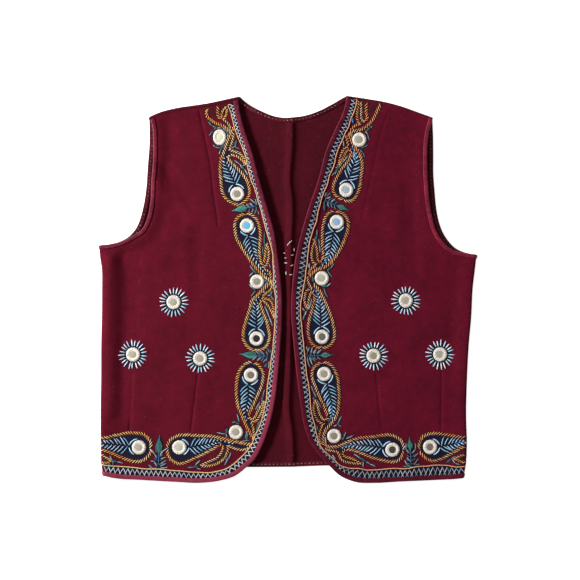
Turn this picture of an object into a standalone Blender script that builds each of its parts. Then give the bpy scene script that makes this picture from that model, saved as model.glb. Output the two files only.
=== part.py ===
"""An embroidered folk vest laid flat with its fronts up, built the way it is sewn.

Two back halves lie on the surface. The two fronts roll over the side and shoulder folds and lie on
the back, open down the middle. Each piece is drawn on the cut, x to the right and y up from the
vest's middle, and is then laid: rolled round the folds, lifted softly along folds and edges, and
given its thickness. Bindings, turnings and mirror rings are drawn on the same cut and moved out.
"""

import math

import bmesh
import bpy
import numpy as np
from mathutils import Vector
from mathutils.geometry import delaunay_2d_cdt

MM = 0.001

# Thicknesses, gaps and widths
CLOTH = 1.5 * MM
HALF_CLOTH = CLOTH / 2
GAP = 0.3 * MM
BINDING = 0.8 * MM
BINDING_BULGE = 0.25 * MM
EDGE_INSET = GAP + BINDING
BINDING_END_GAP = 0.2 * MM
FRONT_BINDING_WIDTH = 4.8 * MM
ARMHOLE_BINDING_WIDTH = 3.9 * MM
TURNING_WIDTH = 5.0 * MM
SEAM_ALLOWANCE_WIDTH = 8.0 * MM
SEAM_ALLOWANCE = 0.9 * MM

# Folds: the radius of the cloth's middle, and how far the back reaches round each fold
FOLD_RADIUS = 2.6 * MM
HALF_TURN = math.pi * FOLD_RADIUS
SIDE_WRAP = HALF_TURN / 2 - GAP / 2
SHOULDER_WRAP = {"left": 9.2 * MM, "right": 6.6 * MM}
FOLD_STEP = math.radians(30)
MIDDLE_OF_FOLD = HALF_CLOTH + FOLD_RADIUS
TOP_OF_FOLD = HALF_CLOTH + 2 * FOLD_RADIUS

# Heights of a front's underside above the surface
LAID_HEIGHT = 2.7 * MM
OVER_HEM_HEIGHT = 2.95 * MM
PAST_HEM_HEIGHT = 1.55 * MM
FOLD_HEIGHT = TOP_OF_FOLD - HALF_CLOTH
ARMHOLE_HEIGHT = 4.2 * MM
SIDE_REACH = 16 * MM
SHOULDER_REACH = 14 * MM
ARMHOLE_REACH = 16 * MM
EDGE_REACH = 20 * MM
SHOULDER_FADE = 30 * MM
LIFT_SHARPNESS = 4

# Spacing of the points that cloth and bindings are worked out from
LINE_STEP = 2 * MM
STATION_STEP = 12.5 * MM
CLOSER_NEAR_FOLDS = 1.2
CLOSER_REACH = 22 * MM
SEAM_STEP = 17 * MM
FRONT_GRID = (15 * MM, 18 * MM)
BACK_GRID = (34 * MM, 34 * MM)
NORMAL_STEP = 0.2 * MM

# Outermost line of each side fold. Columns: y, left, right (distances from the middle, mm)
SIDE_FOLD = (
    (56, 245.3, 247.2),
    (46, 244.7, 245.9),
    (25, 241.8, 243.4),
    (5, 241.7, 241.0),
    (-37, 242.0, 238.7),
    (-70, 242.8, 235.7),
    (-118, 243.0, 233.2),
    (-160, 243.6, 232.1),
    (-205, 243.2, 232.9),
    (-230, 242.3, 231.4),
    (-245, 239.8, 228.5),
)

# Outermost line of each shoulder fold. Columns: distance from the middle, left y, right y (mm)
SHOULDER_FOLD = (
    (60, 251.9, 254.2),
    (76, 248.5, 252.2),
    (104, 242.4, 248.0),
    (125, 239.3, 244.4),
    (146, 236.0, 238.9),
    (167, 230.5, 231.4),
    (187, 221.3, 224.2),
)

# Finished front edge from the shoulder down. Columns: y, left, right (mm)
FRONT_EDGE = (
    (256, 65.8, 77.5),
    (235, 63.2, 73.4),
    (210, 57.0, 62.4),
    (180, 46.8, 49.5),
    (145, 37.4, 40.3),
    (110, 27.6, 28.3),
    (75, 17.7, 17.9),
    (40, 12.6, 9.9),
    (5, 8.4, 5.6),
    (-30, 7.3, 4.5),
    (-65, 9.0, 7.0),
    (-105, 12.3, 11.0),
    (-145, 16.9, 16.0),
    (-180, 25.1, 22.0),
    (-200, 32.2, 29.5),
)

# Finished front hem, on from the front edge. Columns: distance from the middle, left y, right y (mm)
FRONT_HEM = (
    (45, -222.8, -219.8),
    (55, -231.8, -230.0),
    (68, -242.0, -242.2),
    (88, -248.5, -250.4),
    (114, -251.5, -251.6),
    (146, -250.2, -249.9),
    (198, -247.3, -247.5),
    (218, -246.2, -246.2),
    (228, -244.6, -245.0),
    (238, -242.6, -243.6),
    (250, -241.0, -242.2),
)

# Finished armhole edges from the shoulder down. Columns: left, left y, right, right y (mm)
FRONT_ARMHOLE = (
    (178.4, 232.0, 189.3, 230.0),
    (178.0, 220.5, 187.5, 219.0),
    (176.0, 212.0, 183.9, 207.0),
    (174.9, 194.0, 181.7, 190.0),
    (175.1, 168.0, 180.9, 162.0),
    (177.3, 138.0, 182.0, 137.0),
    (179.2, 108.0, 184.7, 108.0),
    (182.1, 94.0, 187.4, 94.0),
    (188.2, 80.0, 191.2, 80.0),
    (205.3, 67.8, 200.4, 63.8),
    (218.4, 62.0, 213.0, 52.2),
    (233.7, 58.1, 229.3, 47.5),
    (243.0, 57.6, 241.1, 45.9),
    (252.0, 55.5, 252.0, 44.9),
)
BACK_ARMHOLE = (
    (180.7, 238.0, 188.7, 238.0),
    (180.4, 222.0, 188.5, 220.0),
    (180.1, 206.0, 189.3, 200.0),
    (180.3, 188.0, 189.6, 175.0),
    (182.4, 160.6, 189.7, 150.0),
    (184.7, 129.4, 191.3, 128.0),
    (188.0, 108.6, 194.0, 102.0),
    (191.7, 94.0, 197.0, 87.8),
    (197.2, 80.5, 202.2, 74.0),
    (204.8, 71.0, 208.7, 63.7),
    (217.1, 63.2, 219.5, 53.1),
    (231.0, 59.3, 232.3, 48.0),
    (243.0, 57.7, 241.6, 46.1),
    (252.0, 55.5, 252.0, 44.9),
)

# Finished back neck from the left shoulder to the right one. Columns: x, y (mm)
BACK_NECK = (
    (-63.2, 266.0),
    (-62.8, 254.0),
    (-60.8, 250.0),
    (-51.7, 241.7),
    (-36.1, 233.1),
    (-20.5, 226.6),
    (-5.0, 223.8),
    (10.7, 224.7),
    (26.3, 227.6),
    (41.9, 233.3),
    (57.0, 241.0),
    (69.5, 248.3),
    (75.3, 252.0),
    (77.4, 266.0),
)

# Finished back hem. Columns: distance from the middle, left y, right y (mm)
BACK_HEM = (
    (0, -230.9, -230.9),
    (55, -231.3, -229.2),
    (130, -231.5, -230.5),
    (190, -234.3, -234.3),
    (212, -236.5, -237.3),
    (226, -238.7, -239.9),
    (238, -240.5, -241.1),
    (250, -241.3, -241.5),
)

# Centre back seam. Columns: y, x (mm)
CENTRE_SEAM = (
    (240, 6.5),
    (182, 5.5),
    (140, 2.9),
    (119, 5.5),
    (60, 4.6),
    (-14, 3.4),
    (-110, 2.8),
    (-161, 2.2),
    (-187, 5.8),
    (-240, 7.2),
)

# How far each front edge stands up. Columns: y, left, right (mm)
EDGE_LIFT = (
    (250, 1.2, 1.0),
    (200, 2.2, 1.7),
    (110, 2.8, 2.1),
    (0, 2.5, 1.8),
    (-90, 2.8, 2.2),
    (-180, 2.3, 1.8),
    (-224, 1.6, 1.5),
    (-240, 0.7, 0.6),
    (-252, 0.3, 0.3),
)

# Soft creases in the fronts. Columns: start x, start y, end x, end y, reach, height (mm)
CREASES = (
    (-228, 28, -229, -66, 6.5, -1.5),
    (-229, -66, -230, -160, 6.0, -0.7),
    (-160, 162, -127, 110, 9.0, -0.8),
    (-178, 150, -150, 88, 8.0, 0.5),
    (-133, 78, -131, -10, 7.0, 0.5),
    (-116, 75, -115, -12, 8.0, -0.6),
    (-211, 20, -208, -60, 9.0, 0.5),
    (158, 140, 162, 20, 9.0, -0.5),
    (176, 120, 179, 10, 8.0, 0.4),
    (217, 5, 212, -120, 9.0, -0.6),
    (100, 150, 112, 30, 10.0, 0.4),
    (-95, -120, -98, -170, 9.0, -0.4),
    (120, -120, 124, -175, 10.0, -0.4),
)

# Stitched mirrors. Columns: left x, left y, right x, right y (mm)
BORDER_MIRRORS = (
    (-88.6, 198.0, 93.1, 194.9),
    (-65.5, 124.3, 76.0, 129.5),
    (-53.0, 83.1, 63.8, 87.8),
    (-39.8, 10.3, 44.3, 14.6),
    (-40.6, -63.8, 44.7, -61.5),
    (-47.9, -111.2, 47.5, -109.9),
    (-67.3, -185.5, 60.4, -190.5),
    (-141.0, -205.3, 136.2, -208.4),
    (-193.5, -205.3, 185.1, -204.8),
)
MEDALLION_MIRRORS = (
    (-148.4, -16.5, 153.6, -14.4),
    (-201.2, -84.6, 198.2, -84.4),
    (-113.9, -89.8, 111.7, -86.2),
)
MIRROR_SIDES = 12

# A mirror in its stitched ring, from the middle outwards. Columns: radius, height (mm)
MIRROR_PROFILE = (
    (5.3, 0.8),
    (6.5, 1.5),
    (8.2, 1.4),
    (9.4, 0.4),
)
MIRROR_HEIGHT = MIRROR_PROFILE[0][1] * MM
RING_RADIUS = MIRROR_PROFILE[-1][0] * MM

SIDES = {"left": -1, "right": 1}


def remove_scene_objects():
    for item in list(bpy.data.objects):
        bpy.data.objects.remove(item, do_unlink=True)


# Smooth lines


def slopes_of(t, values):
    """The slope of a smooth line through the values, at each of them."""
    steps = np.diff(t)
    secants = np.diff(values) / steps
    inner = (secants[:-1] * steps[1:] + secants[1:] * steps[:-1]) / (steps[:-1] + steps[1:])
    return np.concatenate([secants[:1], inner, secants[-1:]])


def smooth_at(t, values, wanted):
    """Values of the smooth line at the wanted places, straight on past its ends."""
    order = np.argsort(t)
    t = np.asarray(t, float)[order]
    values = np.asarray(values, float)[order]
    slopes = slopes_of(t, values)
    wanted = np.asarray(wanted, float)
    inside = np.clip(wanted, t[0], t[-1])
    at = np.clip(np.searchsorted(t, inside) - 1, 0, len(t) - 2)
    width = t[at + 1] - t[at]
    u = (inside - t[at]) / width
    start_part = (1 + 2 * u) * (1 - u) ** 2 * values[at] + u * (1 - u) ** 2 * width * slopes[at]
    end_part = u**2 * (3 - 2 * u) * values[at + 1] + u**2 * (u - 1) * width * slopes[at + 1]
    before = np.minimum(wanted - t[0], 0) * slopes[0]
    after = np.maximum(wanted - t[-1], 0) * slopes[-1]
    return start_part + end_part + before + after


def smooth_line(points):
    """A dense row of points along the smooth line through a few points."""
    points = np.asarray(points, float)
    lengths = np.linalg.norm(np.diff(points, axis=0), axis=1)
    t = np.concatenate([[0], np.cumsum(lengths)])
    wanted = np.linspace(0, t[-1], max(2, int(t[-1] / LINE_STEP)))
    return np.stack([smooth_at(t, points[:, 0], wanted), smooth_at(t, points[:, 1], wanted)], axis=1)


def normals_along(line):
    """Unit normals of a line, to the left of its direction."""
    tangents = np.gradient(line, axis=0)
    tangents /= np.linalg.norm(tangents, axis=1)[:, None]
    return np.stack([-tangents[:, 1], tangents[:, 0]], axis=1)


def distance_to(line, x, y):
    """The distance from each place to a line."""
    points = np.stack([np.ravel(x), np.ravel(y)], axis=1)[:, None]
    starts = line[None, :-1]
    runs = line[None, 1:] - starts
    share = ((points - starts) * runs).sum(2) / (runs**2).sum(2)
    nearest = starts + np.clip(share, 0, 1)[:, :, None] * runs
    return np.linalg.norm(points - nearest, axis=2).min(1).reshape(np.shape(x))


def smoothstep(value):
    value = np.clip(value, 0, 1)
    return value * value * (3 - 2 * value)


def falloff(distance, reach):
    return np.exp(-((distance / reach) ** 2))


# The cut: fold lines, seams and edges


def by_side(table, t, x):
    """A table's left or right column at t, as x is left or right of the middle."""
    columns = np.array(table, float).T * MM
    left = smooth_at(columns[0], columns[1], t)
    right = smooth_at(columns[0], columns[2], t)
    return np.where(np.asarray(x) < 0, left, right)


def side_fold_start(x, y):
    """How far from the middle the cloth starts to turn round the side fold."""
    return by_side(SIDE_FOLD, y, x) - FOLD_RADIUS - HALF_CLOTH


def shoulder_fold_start(x):
    return by_side(SHOULDER_FOLD, np.abs(x), x) - FOLD_RADIUS - HALF_CLOTH


def past_folds(x, y):
    """How far a place of the cut lies past the side fold's start and past the shoulder fold's."""
    past_side = np.abs(x) - side_fold_start(x, y)
    past_shoulder = y - shoulder_fold_start(x)
    return past_side, past_shoulder


def centre_seam_x(y):
    columns = np.array(CENTRE_SEAM, float).T * MM
    return smooth_at(columns[0], columns[1], y)


def edge_line(side, rows):
    """A smooth line on one side of the vest through (distance from the middle, y) rows in mm."""
    points = np.array(rows, float) * MM
    points[:, 0] *= SIDES[side]
    return smooth_line(points)


def front_edge_line(side):
    """The finished front edge and hem of one front, from above the shoulder to past the side."""
    column = 1 if side == "left" else 2
    down = [(row[column], row[0]) for row in FRONT_EDGE]
    across = [(row[0], row[column]) for row in FRONT_HEM]
    return edge_line(side, down + across)


def armhole_line(side, table):
    first = 0 if side == "left" else 2
    return edge_line(side, [row[first : first + 2] for row in table])


def back_neck_line():
    return smooth_line(np.array(BACK_NECK, float) * MM)


def back_hem_line():
    """The finished back hem from the left side to the right one."""
    left = [(-row[0], row[1]) for row in reversed(BACK_HEM)]
    right = [(row[0], row[2]) for row in BACK_HEM[1:]]
    return smooth_line(np.array(left + right, float) * MM)


FRONT_EDGES = {side: front_edge_line(side) for side in SIDES}
FRONT_ARMHOLES = {side: armhole_line(side, FRONT_ARMHOLE) for side in SIDES}
BACK_ARMHOLES = {side: armhole_line(side, BACK_ARMHOLE) for side in SIDES}


def front_reach(side):
    """How far a front's cloth reaches past the start of the side and of the shoulder fold."""
    return HALF_TURN - SIDE_WRAP - GAP, HALF_TURN - SHOULDER_WRAP[side] - GAP


def within_front(side, points):
    past_side, past_shoulder = past_folds(points[:, 0], points[:, 1])
    side_reach, shoulder_reach = front_reach(side)
    return (past_side < side_reach) & (past_shoulder < shoulder_reach)


def within_back(points):
    past_side, past_shoulder = past_folds(points[:, 0], points[:, 1])
    wrap = np.where(points[:, 0] < 0, SHOULDER_WRAP["left"], SHOULDER_WRAP["right"])
    return (past_side < SIDE_WRAP) & (past_shoulder < wrap)


# Laying the cut on the surface


def by_front(lines, x, y):
    """The distance to the left or to the right line, as x is left or right of the middle."""
    x, y = np.broadcast_arrays(np.asarray(x, float), np.asarray(y, float))
    result = np.empty(x.shape)
    for side, sign in SIDES.items():
        here = (x < 0) if sign < 0 else (x >= 0)
        if here.any():
            result[here] = distance_to(lines[side], x[here], y[here])
    return result


def crease_height(x, y):
    total = np.zeros(np.shape(x))
    for start_x, start_y, end_x, end_y, reach, height in CREASES:
        line = np.array([(start_x, start_y), (end_x, end_y)], float) * MM
        total += height * MM * falloff(distance_to(line, x, y), reach * MM)
    return total


def resting_height(x, y):
    """Where the underside of a front would rest: on the back, over its hem, then lower past it."""
    above_hem = y - by_side(BACK_HEM, np.abs(x), x)
    rise = (OVER_HEM_HEIGHT - LAID_HEIGHT) * smoothstep((25 * MM - above_hem) / (17 * MM))
    drop = (OVER_HEM_HEIGHT - PAST_HEM_HEIGHT) * smoothstep((-1 * MM - above_hem) / (14 * MM))
    return LAID_HEIGHT + rise - drop


def front_height(x, y):
    """Height of a front's underside: its resting height, lifted at folds and edges, and creased."""
    past_side, past_shoulder = past_folds(x, y)
    resting = resting_height(x, y)
    fold_lift = FOLD_HEIGHT - resting
    from_edge = by_front(FRONT_EDGES, x, y)
    from_armhole = by_front(FRONT_ARMHOLES, x, y)
    below_shoulder = smoothstep(-past_shoulder / SHOULDER_FADE)
    lifts = (
        fold_lift * falloff(past_side, SIDE_REACH),
        fold_lift * falloff(past_shoulder, SHOULDER_REACH),
        (ARMHOLE_HEIGHT - resting) * falloff(from_armhole, ARMHOLE_REACH),
        by_side(EDGE_LIFT, y, x) * falloff(from_edge, EDGE_REACH) * below_shoulder,
    )
    lift = sum(np.maximum(each, 0) ** LIFT_SHARPNESS for each in lifts) ** (1 / LIFT_SHARPNESS)
    return resting + lift + crease_height(x, y)


def lay_front(x, y):
    """The middle of a front's cloth, laid: flat but for its lifts, and rolled down at the folds."""
    past_side, past_shoulder = past_folds(x, y)
    past_side = np.maximum(past_side, 0)
    past_shoulder = np.maximum(past_shoulder, 0)
    flat_x = x - np.sign(x) * past_side
    flat_y = y - past_shoulder
    top = front_height(flat_x, flat_y) + HALF_CLOTH
    side_turn = past_side / FOLD_RADIUS
    shoulder_turn = past_shoulder / FOLD_RADIUS
    laid_x = flat_x + np.sign(x) * FOLD_RADIUS * np.sin(side_turn)
    laid_y = flat_y + FOLD_RADIUS * np.sin(shoulder_turn)
    laid_z = MIDDLE_OF_FOLD + (top - MIDDLE_OF_FOLD) * np.cos(side_turn + shoulder_turn)
    return np.stack([laid_x, laid_y, laid_z], axis=-1)


def lay_back(x, y):
    """The middle of the back's cloth, laid: flat, and rolled up and over at the folds."""
    past_side, past_shoulder = past_folds(x, y)
    past_side = np.maximum(past_side, 0)
    past_shoulder = np.maximum(past_shoulder, 0)
    side_turn = np.minimum(past_side / FOLD_RADIUS, math.pi)
    shoulder_turn = np.minimum(past_shoulder / FOLD_RADIUS, math.pi)
    over = np.maximum(past_shoulder - HALF_TURN, 0)
    laid_x = x + np.sign(x) * (FOLD_RADIUS * np.sin(side_turn) - past_side)
    laid_y = y - past_shoulder + FOLD_RADIUS * np.sin(shoulder_turn) - over
    laid_z = HALF_CLOTH + FOLD_RADIUS * (1 - np.cos(side_turn + shoulder_turn))
    return np.stack([laid_x, laid_y, laid_z], axis=-1)


def moved_out(lay, points, out):
    """Laid points moved out from the cloth's middle, square to the cloth."""
    x, y = points[:, 0], points[:, 1]
    along_x = lay(x + NORMAL_STEP, y) - lay(x - NORMAL_STEP, y)
    along_y = lay(x, y + NORMAL_STEP) - lay(x, y - NORMAL_STEP)
    normals = np.cross(along_x, along_y)
    normals /= np.linalg.norm(normals, axis=1)[:, None]
    return lay(x, y) + normals * np.reshape(out, (-1, 1))


# Stations along edges and seams


def fold_places(reach):
    """The places past a fold's start where a row of triangles runs round it."""
    turns = np.arange(0, min(reach / FOLD_RADIUS, math.pi) - FOLD_STEP / 2, FOLD_STEP)
    places = list(turns * FOLD_RADIUS)
    return places + [HALF_TURN] if reach > HALF_TURN else places


def past_either_fold(points):
    past_side, past_shoulder = past_folds(points[:, 0], points[:, 1])
    return np.maximum(past_side, past_shoulder)


def stations_along(line, step):
    """Points of a dense line: its ends, its crossings of the fold rows, and others a step apart."""
    past = past_either_fold(line)
    lengths = np.linalg.norm(np.diff(line, axis=0), axis=1)
    along = np.concatenate([[0], np.cumsum(lengths)])
    breaks = [0, along[-1]]
    for place in fold_places(past.max()):
        for at in np.flatnonzero((past[:-1] - place) * (past[1:] - place) < 0):
            share = (place - past[at]) / (past[at + 1] - past[at])
            breaks.append(along[at] + share * lengths[at])
    closeness = 1 + CLOSER_NEAR_FOLDS * falloff(np.minimum(past, 0), CLOSER_REACH)
    measure = np.concatenate([[0], np.cumsum(lengths * (closeness[1:] + closeness[:-1]) / 2 / step)])
    wanted = []
    for start, end in zip(sorted(breaks)[:-1], sorted(breaks)[1:]):
        first, last = np.interp([start, end], along, measure)
        count = max(1, round(last - first))
        wanted += list(np.interp(np.linspace(first, last, count + 1)[:-1], measure, along))
    wanted.append(along[-1])
    return np.stack([np.interp(wanted, along, line[:, axis]) for axis in (0, 1)], axis=1)


def cut_line(line, within):
    """The stretch of a line inside a piece, with its two ends exactly on the seams."""
    inside = np.flatnonzero(within(line))
    first, last = inside[0], inside[-1]
    rows = list(line[first : last + 1])
    for end, outside in ((0, first - 1), (-1, last + 1)):
        if 0 <= outside < len(line):
            near, far = rows[end], line[outside]
            for _ in range(30):
                middle = (near + far) / 2
                if within(middle[None])[0]:
                    near = middle
                else:
                    far = middle
            rows.insert(0 if end == 0 else len(rows), near)
    return np.array(rows)


def shoulder_direction(point):
    """The direction of the shoulder fold's rows at a point."""
    ends = np.array([point[0] - MM, point[0] + MM])
    return np.array([2 * MM, np.diff(shoulder_fold_start(ends))[0]])


def side_direction(point):
    """The direction of the side fold's rows at a point."""
    ends = np.array([point[1] - MM, point[1] + MM])
    starts = side_fold_start(np.full(2, point[0]), ends)
    return np.array([np.sign(point[0]) * np.diff(starts)[0], 2 * MM])


class EdgeStrip:
    """The stations of one bound or turned edge, and the way into the cloth at each of them.

    At a fold the way into the cloth runs along the fold's rows, so that binding and cloth bend
    at the same places.
    """

    def __init__(self, finished, within, inward, width, step=STATION_STEP):
        line = finished + normals_along(finished) * inward * EDGE_INSET
        self.cloth = stations_along(cut_line(line, within), step)
        self.width = width
        self.past_side, self.past_shoulder = past_folds(self.cloth[:, 0], self.cloth[:, 1])
        self.into = normals_along(self.cloth) * inward
        for at, point in enumerate(self.cloth):
            if max(self.past_side[at], self.past_shoulder[at]) > -0.6 * FOLD_RADIUS:
                by_side_fold = self.past_side[at] > self.past_shoulder[at]
                direction = side_direction(point) if by_side_fold else shoulder_direction(point)
                self.into[at] = direction / (direction @ self.into[at])
        self.stations = self.cloth.copy()
        for end, near in ((0, 1), (-1, -2)):
            step_in = self.cloth[near] - self.cloth[end]
            self.stations[end] += step_in * BINDING_END_GAP / np.linalg.norm(step_in)

    def row(self, width):
        """The strip's points at a distance into the cloth."""
        return self.stations + self.into * width

    def inner_row(self):
        """The cloth's own points under the strip's inner edge."""
        return self.cloth + self.into * self.width

    def at_fold(self, fold, place, sign):
        """Where the edge, and the strip's inner edge, cross a fold's row on one side of the vest."""
        past = self.past_side if fold == "side" else self.past_shoulder
        away = np.abs(past - place) + (self.cloth[:, 0] * sign < 0)
        at = int(np.argmin(away))
        return self.cloth[at], self.inner_row()[at]


def fold_row(fold, place, sign, from_strip, to_strip):
    """A row of the cut along a fold, so far past its start, from one edge to another."""
    start, inner_start = from_strip.at_fold(fold, place, sign)
    end, inner_end = to_strip.at_fold(fold, place, sign)
    axis = 1 if fold == "side" else 0
    count = max(2, round(abs(inner_end[axis] - inner_start[axis]) / SEAM_STEP) + 1)
    places = np.linspace(inner_start[axis], inner_end[axis], count)[1:-1]
    if fold == "side":
        x = sign * (side_fold_start(np.full(places.shape, sign), places) + place)
        between = np.stack([x, places], axis=1)
    else:
        between = np.stack([places, shoulder_fold_start(places) + place], axis=1)
    return np.vstack([start, inner_start, between, inner_end, end])


def front_strips(side):
    """The bound edges of one front: its front edge with the hem, and its armhole."""

    def within(points):
        return within_front(side, points)

    sign = SIDES[side]
    edge = EdgeStrip(FRONT_EDGES[side], within, sign, FRONT_BINDING_WIDTH)
    armhole = EdgeStrip(FRONT_ARMHOLES[side], within, -sign, ARMHOLE_BINDING_WIDTH)
    return edge, armhole


def back_strips():
    """The turned edges of the back: neck, hem, and both armholes."""
    strips = {
        "neck": EdgeStrip(back_neck_line(), within_back, -1, TURNING_WIDTH),
        "hem": EdgeStrip(back_hem_line(), within_back, 1, TURNING_WIDTH, 2 * STATION_STEP),
    }
    for side, sign in SIDES.items():
        strips[side] = EdgeStrip(BACK_ARMHOLES[side], within_back, -sign, TURNING_WIDTH)
    return strips


def inside_outline(outline, points):
    """Which points lie inside a closed outline."""
    x, y = points[:, 0, None], points[:, 1, None]
    start, end = outline, np.roll(outline, -1, axis=0)
    crosses = (start[:, 1] > y) != (end[:, 1] > y)
    slope = (end[:, 0] - start[:, 0]) / np.where(end[:, 1] == start[:, 1], 1, end[:, 1] - start[:, 1])
    return (crosses & (x < start[:, 0] + (y - start[:, 1]) * slope)).sum(1) % 2 == 1


# Solids


def new_object(name, vertices, faces, material):
    """A closed mesh object with its faces pointing out."""
    mesh = bpy.data.meshes.new(name)
    mesh.from_pydata([tuple(map(float, point)) for point in vertices], [], faces)
    shape = bmesh.new()
    shape.from_mesh(mesh)
    bmesh.ops.recalc_face_normals(shape, faces=shape.faces)
    shape.to_mesh(mesh)
    shape.free()
    mesh.shade_smooth()
    mesh.set_sharp_from_angle(angle=math.radians(40))
    mesh.materials.append(material)
    item = bpy.data.objects.new(name, mesh)
    bpy.context.collection.objects.link(item)
    return item


def cloth_panel(name, outline, rows, spots, grid, lay, material):
    """A cloth wall: the outline filled with triangles on the cut, laid, and given its thickness.

    rows are lines that triangles keep to, and spots are groups of points kept whole.
    """
    closed = np.vstack([outline, outline[:1]])
    across, up = grid
    low, high = outline.min(0), outline.max(0)
    field = np.array([
        (x, y) for x in np.arange(low[0] + across / 2, high[0], across)
        for y in np.arange(low[1] + up / 2, high[1], up)
    ])
    clear = inside_outline(outline, field)
    for line in [closed] + rows:
        clear &= distance_to(line, field[:, 0], field[:, 1]) > 0.4 * min(grid)
    for spot in spots:
        clear &= np.linalg.norm(field - spot[0], axis=1) > RING_RADIUS + 0.3 * min(grid)
    points = [outline]
    edges = [(i, (i + 1) % len(outline)) for i in range(len(outline))]
    count = len(outline)
    for row in rows:
        edges += [(count + i, count + i + 1) for i in range(len(row) - 1)]
        points.append(row)
        count += len(row)
    points = np.vstack(points + [field[clear]] + list(spots))
    flat = [Vector(point) for point in points / MM]
    result = delaunay_2d_cdt(flat, edges, [], 1, 1e-4)
    cut = np.array([tuple(vertex) for vertex in result[0]]) * MM
    triangles = [tuple(face) for face in result[2]]
    used = sorted({index for face in triangles for index in face})
    number = {index: place for place, index in enumerate(used)}
    cut = cut[used]
    triangles = [tuple(number[index] for index in face) for face in triangles]
    outer = moved_out(lay, cut, HALF_CLOTH)
    inner = moved_out(lay, cut, -HALF_CLOTH)
    total = len(cut)
    faces = triangles + [tuple(total + index for index in reversed(face)) for face in triangles]
    sides = {(face[i], face[(i + 1) % 3]) for face in triangles for i in range(3)}
    for start, end in sorted(sides):
        if (end, start) not in sides:
            faces.append((start, total + start, total + end, end))
    return new_object(name, np.vstack([outer, inner]), faces, material)


def strip_solid(name, strip, section, lay, material):
    """A binding or turning: its section, of (into the cloth, out from its middle) corners, swept."""
    corners = [
        moved_out(lay, strip.row(width), np.full(len(strip.stations), out))
        for width, out in section(strip.width)
    ]
    rings = np.stack(corners, axis=1)
    count, sides = rings.shape[:2]
    faces = []
    for ring in range(count - 1):
        for side in range(sides):
            a, b = ring * sides + side, ring * sides + (side + 1) % sides
            faces.append((a, b, b + sides, a + sides))
    faces.append(tuple(range(sides)))
    faces.append(tuple(range((count - 1) * sides, count * sides)))
    return new_object(name, rings.reshape(-1, 3), faces, material)


def binding_section(width):
    """A binding folded round an edge, with a leg over the cloth and a leg under it."""
    near = HALF_CLOTH + GAP
    far = near + BINDING
    return (
        (width, near),
        (width, far),
        (-GAP, far),
        (-EDGE_INSET, near),
        (-EDGE_INSET - BINDING_BULGE, 0),
        (-EDGE_INSET, -near),
        (-GAP, -far),
        (width, -far),
        (width, -near),
        (-GAP, -near),
        (-GAP, near),
    )


def turning_section(width):
    """A binding turned to the inside: a leg on the cloth's inside and a lip over its cut edge."""
    near = HALF_CLOTH + GAP
    far = near + BINDING
    lip = -HALF_CLOTH + GAP
    return (
        (width, near),
        (width, far),
        (-GAP, far),
        (-EDGE_INSET, near),
        (-EDGE_INSET, lip),
        (-GAP, lip),
        (-GAP, near),
    )


def ring_points(centre, radius):
    turns = np.arange(MIRROR_SIDES) * 2 * math.pi / MIRROR_SIDES
    return centre + radius * np.stack([np.cos(turns), np.sin(turns)], axis=1)


def mirror_spot(centre):
    """The points of the cut under a mirror: its middle and its rim."""
    return np.vstack([centre, ring_points(centre, RING_RADIUS)])


def mirror_solid(name, centre, material):
    """A mirror in its stitched ring, moved out from the front that it is sewn to."""
    base = HALF_CLOTH + GAP
    levels = [(radius * MM, height * MM) for radius, height in MIRROR_PROFILE]
    cut = [centre[None], centre[None]]
    out = [base, base + MIRROR_HEIGHT]
    for radius, height in levels + [(RING_RADIUS, 0)]:
        cut.append(ring_points(centre, radius))
        out += [base + height] * MIRROR_SIDES
    vertices = moved_out(lay_front, np.vstack(cut), out)
    faces = []
    last = 2 + len(levels) * MIRROR_SIDES
    for step in range(MIRROR_SIDES):
        following = (step + 1) % MIRROR_SIDES
        faces.append((1, 2 + step, 2 + following))
        faces.append((0, last + following, last + step))
        for level in range(len(levels)):
            start = 2 + level * MIRROR_SIDES
            outside = start + MIRROR_SIDES
            faces.append((start + step, outside + step, outside + following, start + following))
    return new_object(name, vertices, faces, material)


# Materials


def plain_material(name, colour, roughness, metallic=0.0):
    material = bpy.data.materials.new(name)
    material.use_nodes = True
    shader = material.node_tree.nodes["Principled BSDF"]
    shader.inputs["Base Color"].default_value = (*colour, 1)
    shader.inputs["Roughness"].default_value = roughness
    shader.inputs["Metallic"].default_value = metallic
    material.diffuse_color = (*colour, 1)
    return material


# The pieces


def make_front(side, edge, armhole, spots, material):
    sign = SIDES[side]
    side_reach, shoulder_reach = front_reach(side)
    shoulder_seam = fold_row("shoulder", shoulder_reach, sign, edge, armhole)
    side_seam = fold_row("side", side_reach, sign, armhole, edge)
    outline = np.vstack([edge.cloth[::-1], shoulder_seam[1:-1], armhole.cloth, side_seam[1:-1]])
    rows = [edge.inner_row(), armhole.inner_row()]
    rows += [fold_row("side", place, sign, armhole, edge) for place in fold_places(side_reach)]
    rows += [fold_row("shoulder", place, sign, edge, armhole) for place in fold_places(shoulder_reach)]
    cloth_panel(f"front_{side}", outline, rows, spots, FRONT_GRID, lay_front, material)


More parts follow.
